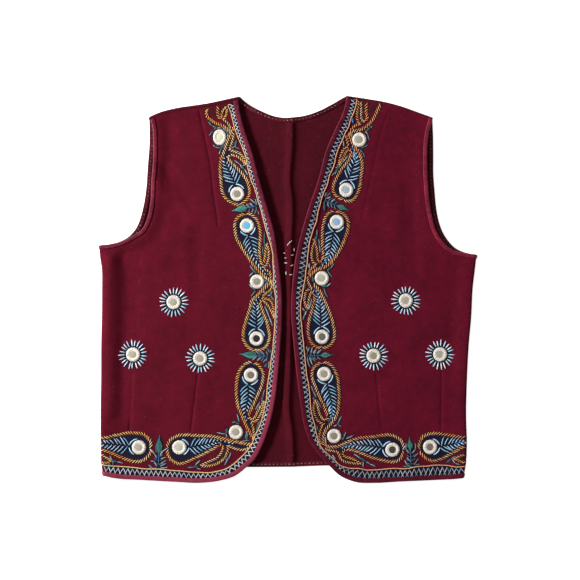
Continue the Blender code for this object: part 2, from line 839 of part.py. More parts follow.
def make_back_half(side, strips, material):
    """One half of the back, from the centre back seam to its side and shoulder seams."""
    sign = SIDES[side]

    def beside_seam(points):
        return (points[:, 0] - centre_seam_x(points[:, 1])) * sign > GAP / 2

    neck = cut_line(strips["neck"].cloth, beside_seam)
    hem = cut_line(strips["hem"].cloth, beside_seam)
    if sign < 0:
        neck, hem = neck[::-1], hem[::-1]
    armhole = strips[side]
    wrap = SHOULDER_WRAP[side]
    centre_y = np.linspace(hem[0, 1], neck[0, 1], round((neck[0, 1] - hem[0, 1]) / (2 * SEAM_STEP)))
    centre = np.stack([centre_seam_x(centre_y) + sign * GAP / 2, centre_y], axis=1)
    shoulder_seam = fold_row("shoulder", wrap, sign, strips["neck"], armhole)
    side_seam = fold_row("side", SIDE_WRAP, sign, armhole, strips["hem"])
    outline = np.vstack([
        centre[1:-1], neck, shoulder_seam[1:-1], armhole.cloth, side_seam[1:-1], hem[::-1],
    ])
    rows = [fold_row("side", place, sign, armhole, strips["hem"]) for place in fold_places(SIDE_WRAP)]
    rows += [fold_row("shoulder", place, sign, strips["neck"], armhole) for place in fold_places(wrap)]
    cloth_panel(f"back_{side}", outline, rows, [], BACK_GRID, lay_back, material)


def make_seam_allowance(strips, material):
    """The centre back seam's allowances, pressed to the left, between the neck and hem turnings."""

    def middle_y(strip, width):
        row = strip.row(width)
        order = np.argsort(row[:, 0])
        return float(np.interp(centre_seam_x(row[:, 1].mean()), row[order, 0], row[order, 1]))

    top = middle_y(strips["neck"], TURNING_WIDTH) - 3 * GAP
    bottom = middle_y(strips["hem"], TURNING_WIDTH) + 3 * GAP
    y = np.linspace(top, bottom, round((top - bottom) / SEAM_STEP))
    right = centre_seam_x(y) + GAP
    near = HALF_CLOTH + GAP
    far = near + SEAM_ALLOWANCE
    corners = (
        (0, near),
        (0, far - GAP),
        (-GAP * 2, far),
        (-SEAM_ALLOWANCE_WIDTH, far - GAP),
        (-SEAM_ALLOWANCE_WIDTH, near),
    )
    rings = [
        moved_out(lay_back, np.stack([right + across, y], axis=1), np.full(len(y), out))
        for across, out in corners
    ]
    vertices = np.stack(rings, axis=1).reshape(-1, 3)
    sides, count = len(corners), len(y)
    faces = [tuple(range(sides)), tuple(range((count - 1) * sides, count * sides))]
    for ring in range(count - 1):
        for side in range(sides):
            a, b = ring * sides + side, ring * sides + (side + 1) % sides
            faces.append((a, b, b + sides, a + sides))
    new_object("back_seam_allowance", vertices, faces, material)


def mirror_centres(side):
    """The names and places of one front's mirrors."""
    first = 0 if side == "left" else 2
    centres = {}
    for kind, table in (("border", BORDER_MIRRORS), ("medallion", MEDALLION_MIRRORS)):
        for number, row in enumerate(table, 1):
            centres[f"shisha_{kind}_{side}_{number}"] = np.array(row[first : first + 2]) * MM
    return centres


def make_vest():
    wool = plain_material("maroon_wool", (0.095, 0.007, 0.014), 0.9)
    satin = plain_material("maroon_satin", (0.2, 0.02, 0.045), 0.42)
    glass = plain_material("mirror_and_thread", (0.55, 0.53, 0.47), 0.25, 0.6)
    strips = back_strips()
    for side in SIDES:
        make_back_half(side, strips, wool)
    make_seam_allowance(strips, wool)
    strip_solid("neck_turning", strips["neck"], turning_section, lay_back, satin)
    strip_solid("back_hem_turning", strips["hem"], turning_section, lay_back, satin)
    for side in SIDES:
        strip_solid(f"armhole_turning_{side}", strips[side], turning_section, lay_back, satin)
        edge, armhole = front_strips(side)
        centres = mirror_centres(side)
        spots = [mirror_spot(centre) for centre in centres.values()]
        make_front(side, edge, armhole, spots, wool)
        strip_solid(f"front_binding_{side}", edge, binding_section, lay_front, satin)
        strip_solid(f"armhole_binding_{side}", armhole, binding_section, lay_front, satin)
        for name, centre in centres.items():
            mirror_solid(name, centre, glass)


remove_scene_objects()
make_vest()
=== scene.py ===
"""An embroidered folk vest laid flat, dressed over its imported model: cloth, bindings, embroidery.

Every piece is drawn on the cut, x to the right and y up from the vest's middle, and is then laid
as the cut is laid: rolled round the folds, lifted softly along folds and edges, and creased. The
stitches are lines on the cut too, and a thread is swept along each of them.
"""

import math

import bmesh
import bpy
import numpy as np
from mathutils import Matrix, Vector
from mathutils.geometry import delaunay_2d_cdt


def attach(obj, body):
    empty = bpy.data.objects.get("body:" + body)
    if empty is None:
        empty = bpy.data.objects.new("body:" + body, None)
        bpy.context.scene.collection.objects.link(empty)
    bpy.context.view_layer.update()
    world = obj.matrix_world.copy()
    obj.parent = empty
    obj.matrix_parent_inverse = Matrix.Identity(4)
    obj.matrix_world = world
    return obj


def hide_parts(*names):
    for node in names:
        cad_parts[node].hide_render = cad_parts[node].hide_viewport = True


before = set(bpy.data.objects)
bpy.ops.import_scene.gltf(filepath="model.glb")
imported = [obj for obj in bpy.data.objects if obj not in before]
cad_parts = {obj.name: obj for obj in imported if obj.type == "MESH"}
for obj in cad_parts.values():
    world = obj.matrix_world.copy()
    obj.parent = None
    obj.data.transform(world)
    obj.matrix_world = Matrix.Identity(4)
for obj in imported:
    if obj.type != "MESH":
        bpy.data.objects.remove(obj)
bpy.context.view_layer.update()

MM = 0.001

# Thicknesses, gaps and widths
CLOTH = 1.5 * MM
HALF_CLOTH = CLOTH / 2
GAP = 0.3 * MM
BINDING = 0.8 * MM
BINDING_BULGE = 0.25 * MM
EDGE_INSET = GAP + BINDING
BINDING_END_GAP = 0.2 * MM
FRONT_BINDING_WIDTH = 4.8 * MM
ARMHOLE_BINDING_WIDTH = 3.9 * MM
TURNING_WIDTH = 5.0 * MM
SEAM_ALLOWANCE_WIDTH = 8.0 * MM
SEAM_ALLOWANCE = 0.9 * MM

# Folds: the radius of the cloth's middle, and how far the back reaches round each fold
FOLD_RADIUS = 2.6 * MM
HALF_TURN = math.pi * FOLD_RADIUS
SIDE_WRAP = HALF_TURN / 2 - GAP / 2
SHOULDER_WRAP = {"left": 9.2 * MM, "right": 6.6 * MM}
FOLD_STEP = math.radians(15)
MIDDLE_OF_FOLD = HALF_CLOTH + FOLD_RADIUS
TOP_OF_FOLD = HALF_CLOTH + 2 * FOLD_RADIUS

# Heights of a front's underside above the surface
LAID_HEIGHT = 2.7 * MM
OVER_HEM_HEIGHT = 2.95 * MM
PAST_HEM_HEIGHT = 1.55 * MM
FOLD_HEIGHT = TOP_OF_FOLD - HALF_CLOTH
ARMHOLE_HEIGHT = 4.2 * MM
SIDE_REACH = 16 * MM
SHOULDER_REACH = 14 * MM
ARMHOLE_REACH = 16 * MM
EDGE_REACH = 20 * MM
SHOULDER_FADE = 30 * MM
LIFT_SHARPNESS = 4

# Spacing of the points that cloth and bindings are worked out from
LINE_STEP = 2 * MM
STATION_STEP = 3 * MM
CLOSER_NEAR_FOLDS = 0.5
CLOSER_REACH = 22 * MM
SEAM_STEP = 5 * MM
FRONT_GRID = 3.2 * MM
BACK_GRID = 5 * MM
NORMAL_STEP = 0.2 * MM

# Outermost line of each side fold. Columns: y, left, right (distances from the middle, mm)
SIDE_FOLD = (
    (56, 245.3, 247.2),
    (46, 244.7, 245.9),
    (25, 241.8, 243.4),
    (5, 241.7, 241.0),
    (-37, 242.0, 238.7),
    (-70, 242.8, 235.7),
    (-118, 243.0, 233.2),
    (-160, 243.6, 232.1),
    (-205, 243.2, 232.9),
    (-230, 242.3, 231.4),
    (-245, 239.8, 228.5),
)

# Outermost line of each shoulder fold. Columns: distance from the middle, left y, right y (mm)
SHOULDER_FOLD = (
    (60, 251.9, 254.2),
    (76, 248.5, 252.2),
    (104, 242.4, 248.0),
    (125, 239.3, 244.4),
    (146, 236.0, 238.9),
    (167, 230.5, 231.4),
    (187, 221.3, 224.2),
)

# Finished front edge from the shoulder down. Columns: y, left, right (mm)
FRONT_EDGE = (
    (256, 65.8, 77.5),
    (235, 63.2, 73.4),
    (210, 57.0, 62.4),
    (180, 46.8, 49.5),
    (145, 37.4, 40.3),
    (110, 27.6, 28.3),
    (75, 17.7, 17.9),
    (40, 12.6, 9.9),
    (5, 8.4, 5.6),
    (-30, 7.3, 4.5),
    (-65, 9.0, 7.0),
    (-105, 12.3, 11.0),
    (-145, 16.9, 16.0),
    (-180, 25.1, 22.0),
    (-200, 32.2, 29.5),
)

# Finished front hem, on from the front edge. Columns: distance from the middle, left y, right y (mm)
FRONT_HEM = (
    (45, -222.8, -219.8),
    (55, -231.8, -230.0),
    (68, -242.0, -242.2),
    (88, -248.5, -250.4),
    (114, -251.5, -251.6),
    (146, -250.2, -249.9),
    (198, -247.3, -247.5),
    (218, -246.2, -246.2),
    (228, -244.6, -245.0),
    (238, -242.6, -243.6),
    (250, -241.0, -242.2),
)

# Finished armhole edges from the shoulder down. Columns: left, left y, right, right y (mm)
FRONT_ARMHOLE = (
    (178.4, 232.0, 189.3, 230.0),
    (178.0, 220.5, 187.5, 219.0),
    (176.0, 212.0, 183.9, 207.0),
    (174.9, 194.0, 181.7, 190.0),
    (175.1, 168.0, 180.9, 162.0),
    (177.3, 138.0, 182.0, 137.0),
    (179.2, 108.0, 184.7, 108.0),
    (182.1, 94.0, 187.4, 94.0),
    (188.2, 80.0, 191.2, 80.0),
    (205.3, 67.8, 200.4, 63.8),
    (218.4, 62.0, 213.0, 52.2),
    (233.7, 58.1, 229.3, 47.5),
    (243.0, 57.6, 241.1, 45.9),
    (252.0, 55.5, 252.0, 44.9),
)
BACK_ARMHOLE = (
    (180.7, 238.0, 188.7, 238.0),
    (180.4, 222.0, 188.5, 220.0),
    (180.1, 206.0, 189.3, 200.0),
    (180.3, 188.0, 189.6, 175.0),
    (182.4, 160.6, 189.7, 150.0),
    (184.7, 129.4, 191.3, 128.0),
    (188.0, 108.6, 194.0, 102.0),
    (191.7, 94.0, 197.0, 87.8),
    (197.2, 80.5, 202.2, 74.0),
    (204.8, 71.0, 208.7, 63.7),
    (217.1, 63.2, 219.5, 53.1),
    (231.0, 59.3, 232.3, 48.0),
    (243.0, 57.7, 241.6, 46.1),
    (252.0, 55.5, 252.0, 44.9),
)

# Finished back neck from the left shoulder to the right one. Columns: x, y (mm)
BACK_NECK = (
    (-63.2, 266.0),
    (-62.8, 254.0),
    (-60.8, 250.0),
    (-51.7, 241.7),
    (-36.1, 233.1),
    (-20.5, 226.6),
    (-5.0, 223.8),
    (10.7, 224.7),
    (26.3, 227.6),
    (41.9, 233.3),
    (57.0, 241.0),
    (69.5, 248.3),
    (75.3, 252.0),
    (77.4, 266.0),
)

# Finished back hem. Columns: distance from the middle, left y, right y (mm)
BACK_HEM = (
    (0, -230.9, -230.9),
    (55, -231.3, -229.2),
    (130, -231.5, -230.5),
    (190, -234.3, -234.3),
    (212, -236.5, -237.3),
    (226, -238.7, -239.9),
    (238, -240.5, -241.1),
    (250, -241.3, -241.5),
)

# Centre back seam. Columns: y, x (mm)
CENTRE_SEAM = (
    (240, 6.5),
    (182, 5.5),
    (140, 2.9),
    (119, 5.5),
    (60, 4.6),
    (-14, 3.4),
    (-110, 2.8),
    (-161, 2.2),
    (-187, 5.8),
    (-240, 7.2),
)

# How far each front edge stands up. Columns: y, left, right (mm)
EDGE_LIFT = (
    (250, 1.2, 1.0),
    (200, 2.2, 1.7),
    (110, 2.8, 2.1),
    (0, 2.5, 1.8),
    (-90, 2.8, 2.2),
    (-180, 2.3, 1.8),
    (-224, 1.6, 1.5),
    (-240, 0.7, 0.6),
    (-252, 0.3, 0.3),
)

# Soft creases in the fronts. Columns: start x, start y, end x, end y, reach, height (mm)
CREASES = (
    (-228, 28, -229, -66, 6.5, -1.5),
    (-229, -66, -230, -160, 6.0, -0.7),
    (-160, 162, -127, 110, 9.0, -0.8),
    (-178, 150, -150, 88, 8.0, 0.5),
    (-133, 78, -131, -10, 7.0, 0.5),
    (-116, 75, -115, -12, 8.0, -0.6),
    (-211, 20, -208, -60, 9.0, 0.5),
    (158, 140, 162, 20, 9.0, -0.5),
    (176, 120, 179, 10, 8.0, 0.4),
    (217, 5, 212, -120, 9.0, -0.6),
    (100, 150, 112, 30, 10.0, 0.4),
    (-95, -120, -98, -170, 9.0, -0.4),
    (120, -120, 124, -175, 10.0, -0.4),
)

# Stitched mirrors. Columns: left x, left y, right x, right y (mm)
BORDER_MIRRORS = (
    (-88.6, 198.0, 93.1, 194.9),
    (-65.5, 124.3, 76.0, 129.5),
    (-53.0, 83.1, 63.8, 87.8),
    (-39.8, 10.3, 44.3, 14.6),
    (-40.6, -63.8, 44.7, -61.5),
    (-47.9, -111.2, 47.5, -109.9),
    (-67.3, -185.5, 60.4, -190.5),
    (-141.0, -205.3, 136.2, -208.4),
    (-193.5, -205.3, 185.1, -204.8),
)
MEDALLION_MIRRORS = (
    (-148.4, -16.5, 153.6, -14.4),
    (-201.2, -84.6, 198.2, -84.4),
    (-113.9, -89.8, 111.7, -86.2),
)

# Spacing of the height map that a front is laid by
MAP_STEP = 2.5 * MM
MAP_REACH = (252 * MM, 262 * MM)

# Seamed darts of the fronts: depth, then x and y along each (mm)
DARTS = {
    "left": (
        (0.8, -115.0, 232.0, -109.5, 206.0, -100.5, 163.0, -96.8, 126.5, -90.5, 84.0),
        (0.8, -202.5, -108.0, -206.0, -184.0),
        (0.8, -117.0, -111.5, -126.0, -184.0),
    ),
    "right": (
        (0.35, 129.5, 227.0, 121.0, 203.0, 114.0, 170.0, 105.0, 130.5, 97.5, 94.0),
        (0.6, 115.0, -110.0, 122.0, -182.0),
        (0.6, 200.5, -104.5, 199.5, -182.0),
    ),
}
DART_REACH = 1.3 * MM

# Height of the ridge along the back's seam, and how far to each side it falls away (mm). Rows of
# the right reach: y, and the reach there
BACK_RIDGE = 2.2 * MM
RIDGE_REACH_RIGHT = ((-150, -70, 0, 60), (12.0, 8.5, 8.5, 12.5))
RIDGE_REACH_LEFT = 12.0

# How far below its resting height a crease may bring a front's underside, clear of the back
DEEPEST_CREASE = 0.85 * MM

# The raised rim of an armhole and the hollow beside it
ARMHOLE_RIM = 0.8 * MM
ARMHOLE_HOLLOW = 0.6 * MM
RIM_PLACE, RIM_REACH = 8.5 * MM, 6.5 * MM
HOLLOW_PLACE, HOLLOW_REACH = 22 * MM, 9 * MM
RIGHT_ARMHOLE_SHARE = 0.25

# Where a front goes from the back on to its hem, and down past it: how far above the hem each
# change starts, and how long it is
ONTO_HEM = (25 * MM, 17 * MM)
PAST_HEM = (-1 * MM, 14 * MM)

# How near to a fold the cloth's unevenness fades away
SMOOTH_AT_FOLDS = 12 * MM

# Sharp little creases of the fronts. Columns: start x, start y, end x, end y, reach, height (mm)
FINE_CREASES = (
    (-160.0, 162.0, -127.0, 110.0, 5.0, -0.25),
    (-229.0, 36.0, -230.0, -61.0, 10.0, 4.60),
    (-229.5, -73.0, -230.5, -160.0, 8.5, 2.60),
    (-206.0, 40.0, -206.0, -60.0, 12.0, -1.60),
    (-211.0, -73.0, -214.0, -160.0, 10.0, -1.20),
    (-181.0, 160.0, -156.0, 120.0, 7.5, 1.50),
    (-176.0, 150.0, -138.0, 92.0, 9.0, -0.55),
    (-168.0, 158.0, -128.0, 98.0, 6.0, 0.35),
    (-124.0, 60.0, -126.0, -25.0, 9.0, -0.35),
    (-224.0, 62.0, -212.0, 50.0, 3.2, -0.55),
    (150.0, 140.0, 152.0, 20.0, 3.6, -0.16),
    (170.0, 130.0, 173.0, 10.0, 3.4, 0.14),
    (190.0, 120.0, 193.0, 15.0, 3.6, -0.14),
    (-160.0, 162.0, -146.0, 141.0, 4.0, -0.25),
    (-170.0, 106.0, -158.0, 96.0, 4.0, -0.22),
    (-236.0, 48.0, -226.0, 12.0, 4.5, 0.35),
    (-208.0, 60.0, -190.0, 30.0, 6.0, -0.20),
)

# Slow unevenness of laid cloth. Columns: wave x, wave y (per mm), phase, height (mm)
RIPPLES = (
    (0.110, 0.045, 0.4, 0.055),
    (-0.070, 0.120, 1.9, 0.050),
    (0.185, -0.090, 3.1, 0.032),
    (0.050, 0.210, 5.2, 0.030),
)

# Little puckers beside a sewn edge. Columns: wave x, wave y (per mm), phase, height (mm)
PUCKERS = (
    (0.10, 0.62, 0.3, 0.085),
    (0.64, 0.12, 2.2, 0.085),
    (0.43, -0.41, 4.0, 0.055),
)
PUCKER_REACH = 9 * MM

# Loose thread ends inside the back. Columns: start x, start y, end x, end y (mm)
THREAD_ENDS = (
    (-0.3, 57.2, 4.9, 63.7),
    (8.1, 54.0, 8.1, 49.4),
    (-4.9, 47.5, -2.3, 47.1),
    (4.2, 44.3, 7.1, 45.4),
    (-4.1, 41.0, -1.2, 41.0),
    (-4.2, 34.5, 0.1, 34.5),
    (3.7, 30.7, 6.6, 32.2),
    (-1.6, 23.3, -1.6, 18.9),
    (2.4, 18.9, 5.3, 19.6),
    (6.3, 20.2, 7.6, 18.6),
    (-168.8, 177.7, -167.1, 178.5),
)

# The lines of each paisley: x and y in turn along each of them (mm)
PAISLEYS = {
    "left": {
        "shoulder": {
            "outer": (-104.5, 240, -105, 234.5, -105.5, 228, -103, 223, -97, 218.5, -90.5, 215,
                -84, 212.5, -77.5, 208, -75, 205.5),
            "inner": (-90, 243, -90.5, 236, -91, 230, -90.5, 226, -88.5, 222.5),
            "hook": (-86, 224, -85.5, 229.5, -84, 233, -81.5, 236),
            "leaf": (-82.5, 222, -80, 227, -79, 231.5, -80.5, 236),
            "back": (-74.5, 210.5, -76.5, 215, -80.5, 218.5, -83, 220.5),
        },
        "second": {
            "outer": (-64, 110, -69, 111.5, -75.5, 114.5, -80.5, 118.5, -83.5, 123.5, -85.5, 129.5,
                -86.5, 136, -87, 142.5, -87.5, 149, -88, 155.5, -87.5, 162, -87, 168.5, -84.5, 175,
                -82, 181.5, -80, 188, -77.5, 194.5, -75, 199.5, -72.5, 205.5, -71, 208.5),
            "inner": (-60, 111, -55.5, 114.5, -51.5, 119, -49.5, 124, -49.5, 129.5, -50.5, 136,
                -52.5, 141, -55, 145.5, -58, 149.5, -62, 154, -66, 158, -70, 162, -74, 166, -77, 169.5),
            "hook": (-78, 172, -75.5, 174, -71, 174.5, -66.5, 173.5, -62, 170.5, -58, 166.5, -55, 162),
            "leaf": (-75, 182, -72, 180.5, -67.5, 179, -62.5, 177, -59, 173.5, -56, 169, -54.5, 164),
            "back": (-70, 202, -71, 197, -72, 192.5, -73.5, 188, -75, 183.5),
            "spine": (-67.5, 134.5, -69, 140, -72, 145.5, -74.5, 151.5, -77.5, 157.5, -80.5, 164.5,
                -81, 171, -80.5, 177.5),
        },
        "third": {
            "outer": (-57, 98, -61.5, 96, -65.5, 93, -68, 88.5, -69, 83, -68.5, 77.5, -67.5, 71,
                -65.5, 64.5, -62, 58.5, -59, 53.5, -55.5, 48, -52, 43, -48.5, 37.5, -45, 32.5, -41.5, 28,
                -37.5, 24, -33.5, 20, -29, 16, -25, 13, -22, 10.5),
            "inner": (-51.5, 99, -47, 97.5, -43, 94, -40, 91, -38, 86.5, -36.5, 81, -35.5, 75, -35.5, 68,
                -36, 62, -36.5, 55, -36.5, 49, -36, 43, -35, 37.5, -33.5, 33),
            "hook": (-31, 29, -27.5, 31.5, -25.5, 37, -24.5, 43, -24.5, 48, -25, 53.5, -26.5, 58),
            "leaf": (-30.5, 36.5, -29.5, 41.5, -29, 47, -28.5, 51.5, -27, 56.5),
            "back": (-22, 15.5, -22.5, 21, -25, 24, -29, 25.5),
            "spine": (-51.5, 73, -49.5, 67, -48, 60.5, -46.5, 54, -45, 49, -42.5, 42, -38.5, 36,
                -33.5, 29, -28.5, 21.5),
        },
        "fifth": {
            "outer": (-44, -79, -47, -78, -51.5, -75, -55, -70, -57.5, -64.5, -58, -58, -57, -51.5,
                -55.5, -45, -53.5, -38.5, -51.5, -32, -49.5, -25.5, -48, -19, -46, -13.5, -42.5, -10,
                -38.5, -6.5, -35, -2.5, -31, 1.5, -27, 4.5, -23, 8, -20.5, 10),
            "inner": (-39.5, -79, -35, -78.5, -30, -76, -26.5, -72, -24.5, -67, -23.5, -62, -24, -55,
                -25.5, -49, -27, -42, -29.5, -36, -32, -29, -34.5, -23, -36, -18),
            "hook": (-35, -15, -32.5, -14.5, -29, -17, -25.5, -21, -22.5, -26, -20, -30.5, -18, -35.5),
            "leaf": (-32, -11, -28.5, -12, -23.5, -13.5, -20.5, -17, -19, -22, -18, -28.5, -17.5, -34.5),
            "back": (-20, 6, -21, 2, -23.5, -1.5, -27.5, -4.5, -32, -8),
            "spine": (-40, -51.5, -40.5, -45, -40.5, -37, -41, -29, -41.5, -23, -40.5, -17.5,
                -37.5, -12.5, -32, -6),
        },
        "sixth": {
            "outer": (-49, -94.5, -53.5, -96, -58, -99.5, -61.5, -104, -64, -109, -65.5, -115,
                -66.5, -121.5, -67, -128, -67, -134.5, -66.5, -141, -65.5, -147.5, -64, -154, -61, -160.5,
                -58.5, -167, -56, -173, -53, -179, -50.5, -184, -48, -188.5, -45.5, -192.5),
            "inner": (-42, -96, -38, -98, -35, -102, -32.5, -106.5, -31.5, -111, -32, -116.5, -33, -121.5,
                -34.5, -127, -36.5, -132, -39, -137, -41.5, -142.5, -43.5, -147.5, -46, -153, -48.5, -158,
                -50.5, -162.5),
            "hook": (-50, -167, -47.5, -168.5, -44, -167.5, -41.5, -164, -39, -158.5, -36.5, -154,
                -34, -150, -32, -147),
            "leaf": (-44.5, -172, -40.5, -170.5, -37.5, -166.5, -35, -162, -33, -156.5, -32, -151.5,
                -31, -147.5),
            "back": (-44, -192, -44, -187, -44.5, -182.5, -45.5, -177.5, -47, -173.5),
            "spine": (-51.5, -123, -51.5, -130.5, -51.5, -138.5, -52.5, -146, -54, -154, -54.5, -162,
                -52.5, -169.5, -49, -179),
        },
        "eighth": {
            "outer": (-156.5, -203.5, -155, -199, -152, -195, -147, -192, -142, -189.5, -136, -189,
                -129.5, -189, -123, -189.5, -116.5, -190, -110, -190, -103.5, -190.5, -97, -191,
                -90.5, -192.5, -84, -194, -77.5, -195.5, -71, -197, -64.5, -198.5, -58, -200, -51.5, -201,
                -48, -201),
            "inner": (-156.5, -210.5, -155.5, -215, -152.5, -220.5, -148, -224, -142, -226.5, -136, -226,
                -129.5, -223.5, -123, -220.5, -116.5, -217.5, -110, -214.5, -103.5, -211, -97, -207.5,
                -91.5, -203.5),
            "hook": (-87, -202, -84.5, -204.5, -85, -208.5, -87, -213, -90.5, -218, -96, -221,
                -101.5, -223.5, -107.5, -226, -112, -228.5),
            "leaf": (-78, -204, -77.5, -208, -79, -213, -82, -219, -87, -223.5, -92, -226.5, -98, -228.5,
                -104.5, -229.5, -110, -229.5),
            "back": (-49.5, -204, -53, -207, -58, -208.5, -66, -207.5, -72.5, -205.5, -76.5, -203.5),
            "spine": (-129, -205, -122, -204, -114, -202.5, -106.5, -201, -98.5, -199.5, -92, -198,
                -85.5, -198.5, -75, -201),
        },
        "ninth": {
            "outer": (-178, -204, -178.5, -198, -181.5, -193.5, -185, -190, -189.5, -187.5, -194.5, -187,
                -201, -186.5, -207, -186.5, -213, -187.5, -219.5, -189, -226, -190, -232.5, -192,
                -239, -193, -246.5, -194.5),
            "inner": (-178, -210, -179.5, -214, -182.5, -218, -185.5, -220.5, -190, -223, -195.5, -223.5,
                -201, -223.5, -207.5, -221.5, -214, -219.5, -220.5, -216.5, -227, -213.5, -233.5, -210.5,
                -240, -208.5, -246.5, -206.5),
            "hook": (-246.5, -213.5, -242, -214.5, -237.5, -217, -233.5, -219.5, -230.5, -221.5),
            "leaf": (-246.5, -224, -242, -225, -237.5, -225.5, -233.5, -225, -230, -223),
            "spine": (-204, -204, -211.5, -203, -219.5, -202, -227, -201, -233.5, -201, -240, -200,
                -246.5, -199.5),
        },
    },
    "right": {
        "shoulder": {
            "outer": (122, 245.5, 120.5, 241, 118.5, 236, 116, 231.5, 113.5, 226, 111, 221.5, 107.5, 217,
                103.5, 213, 99, 210, 94.5, 207.5, 89.5, 206.5, 84.5, 205.5, 81.5, 203.5),
            "inner": (102.5, 247, 102, 237, 102, 232.5, 102.5, 228, 103.5, 223.5, 101.5, 220),
            "hook": (99, 218.5, 96.5, 220, 95.5, 224, 95.5, 231, 95.5, 237, 95, 245),
            "leaf": (94, 215, 91.5, 218.5, 90.5, 223, 90, 227.5, 90.5, 232, 91.5, 237, 92, 244),
            "back": (82, 208, 85.5, 211.5, 89.5, 214, 93, 215),
        },
        "second": {
            "outer": (74.5, 115, 79, 114.5, 83.5, 115.5, 87.5, 119, 90.5, 123.5, 92.5, 128.5, 94, 134.5,
                95, 141, 95.5, 147.5, 96.5, 154, 97, 160.5, 96.5, 166.5, 95, 171.5, 93.5, 177,
                90.5, 181.5, 88, 185, 85.5, 189, 83, 193, 81, 197, 79, 201.5),
            "inner": (70.5, 117.5, 66, 119.5, 62, 123, 59.5, 127.5, 59, 132.5, 60, 138, 62.5, 143,
                65, 148, 68, 153.5, 71, 158, 74.5, 162, 77.5, 166, 80.5, 170.5, 82, 175, 83, 178.5),
            "hook": (81.5, 181.5, 79, 181.5, 76, 179, 74, 175, 72, 170.5, 69.5, 166, 67.5, 162),
            "leaf": (77, 185, 73, 182.5, 70.5, 178, 68.5, 173, 67.5, 167.5, 66.5, 162.5),
            "back": (74, 201.5, 76, 197, 77.5, 192.5, 78.5, 188),
            "spine": (77.5, 141, 80.5, 147, 83, 153.5, 85, 160, 87.5, 166.5, 88.5, 172, 87.5, 178,
                83.5, 185),
        },
        "third": {
            "outer": (64.5, 101.5, 69, 100.5, 73.5, 97.5, 76.5, 94, 78.5, 89.5, 79, 84.5, 78.5, 79.5,
                77.5, 74, 75.5, 69, 74, 64.5, 71.5, 59, 69, 54, 66.5, 49.5, 64, 45, 60.5, 40.5, 57.5, 36,
                53.5, 33, 49.5, 30, 45.5, 28, 41, 27, 36.5, 25.5, 33, 22.5, 29.5, 19),
            "inner": (58, 101.5, 54.5, 100, 51, 97, 48.5, 92.5, 47, 87, 45.5, 81, 45, 75, 45, 68, 45, 62,
                45, 55, 46, 49.5, 46, 44, 45.5, 39.5),
            "hook": (43.5, 36, 41, 36, 39, 40.5, 38.5, 46, 38, 51.5, 37, 56.5, 35.5, 62),
            "leaf": (36.5, 33, 34, 34.5, 32, 38.5, 31, 43.5, 31.5, 49, 32, 54, 33.5, 58.5, 35, 62),
            "back": (27, 20, 29, 25.5, 32, 28.5, 36, 30.5),
            "spine": (61, 77.5, 59, 71, 57.5, 63.5, 56, 56.5, 55.5, 50, 53.5, 43.5, 50.5, 37.5, 43, 32),
        },
        "fifth": {
            "outer": (47, -76, 51.5, -75, 55.5, -72, 59, -68, 60.5, -63.5, 61, -58, 60.5, -51.5,
                59, -45.5, 58, -39.5, 56, -34, 54, -28, 51.5, -22, 49, -16, 46, -11, 44, -6, 41.5, -1.5,
                38, 2, 35, 5.5),
            "inner": (42, -75.5, 37.5, -75, 33.5, -72, 30, -67.5, 28, -62.5, 26.5, -56.5, 26.5, -50,
                27, -43.5, 28.5, -37, 30.5, -30.5, 32, -24, 33.5, -18, 35, -12.5, 35, -7.5),
            "hook": (33, -3, 30.5, -3.5, 28.5, -8.5, 27.5, -13.5, 26.5, -19, 26, -24),
            "leaf": (27.5, 0, 24, -2, 22.5, -7, 21.5, -12.5, 22, -17.5, 23.5, -21.5, 26, -24.5),
            "back": (25.5, 15.5, 26.5, 10, 28.5, 5.5, 31, 1.5),
            "spine": (43, -50, 43, -43, 43, -36, 42.5, -28.5, 42.5, -21.5, 40.5, -13.5, 38.5, -6.5,
                34, 1.5),
        },
        "sixth": {
            "outer": (48, -94.5, 52.5, -95.5, 56, -98, 59.5, -101.5, 62, -106, 64, -111, 65.5, -117,
                66, -123, 66.5, -129.5, 67, -136, 67, -142.5, 66.5, -149, 66, -155.5, 64.5, -161,
                62.5, -166, 60, -169.5, 57, -173.5, 53.5, -177.5, 50.5, -181, 48.5, -184.5, 47, -188.5,
                46, -193, 46, -197.5, 47, -202),
            "inner": (42, -95.5, 38, -98, 34, -101.5, 32, -106, 31.5, -111, 32, -116.5, 34, -121.5,
                36, -127, 38, -132, 40.5, -137, 43, -142.5, 45.5, -147.5, 48, -153, 49.5, -158,
                51.5, -162.5),
            "hook": (52.5, -167.5, 49.5, -169.5, 47, -169.5, 44, -166.5, 41.5, -162, 40, -156.5, 39, -152,
                37.5, -147.5, 36, -144.5),
            "leaf": (46.5, -175, 42.5, -173, 38.5, -169.5, 36, -165, 34, -160, 33.5, -154.5, 34, -149.5,
                35, -145),
            "back": (43, -200, 41, -195.5, 41, -190.5, 42, -185, 43.5, -180, 45, -177),
            "spine": (51, -121.5, 52.5, -128, 54.5, -135, 56, -142.5, 57.5, -149.5, 58, -156.5,
                57.5, -164, 52.5, -172),
        },
        "eighth": {
            "outer": (151, -205.5, 149.5, -200, 146.5, -195.5, 142, -192.5, 137, -190, 131.5, -189,
                126.5, -189.5, 121, -190, 115.5, -191, 109.5, -192, 103.5, -192, 98, -192.5, 92, -193.5,
                86, -195.5, 81, -197, 75.5, -199.5, 70.5, -202, 65.5, -204, 60, -205, 55, -205,
                50.5, -203.5),
            "inner": (150, -212, 148.5, -216.5, 146, -220.5, 142, -223, 137, -224, 131.5, -224,
                126.5, -222.5, 121, -221.5, 115.5, -220, 109.5, -218.5, 104.5, -216.5, 99, -214, 94, -212,
                88.5, -210, 83.5, -208.5, 78.5, -208),
            "hook": (74, -209, 72, -211, 72, -215, 75, -217.5, 79.5, -218.5, 85, -220.5, 90, -223,
                94, -225.5),
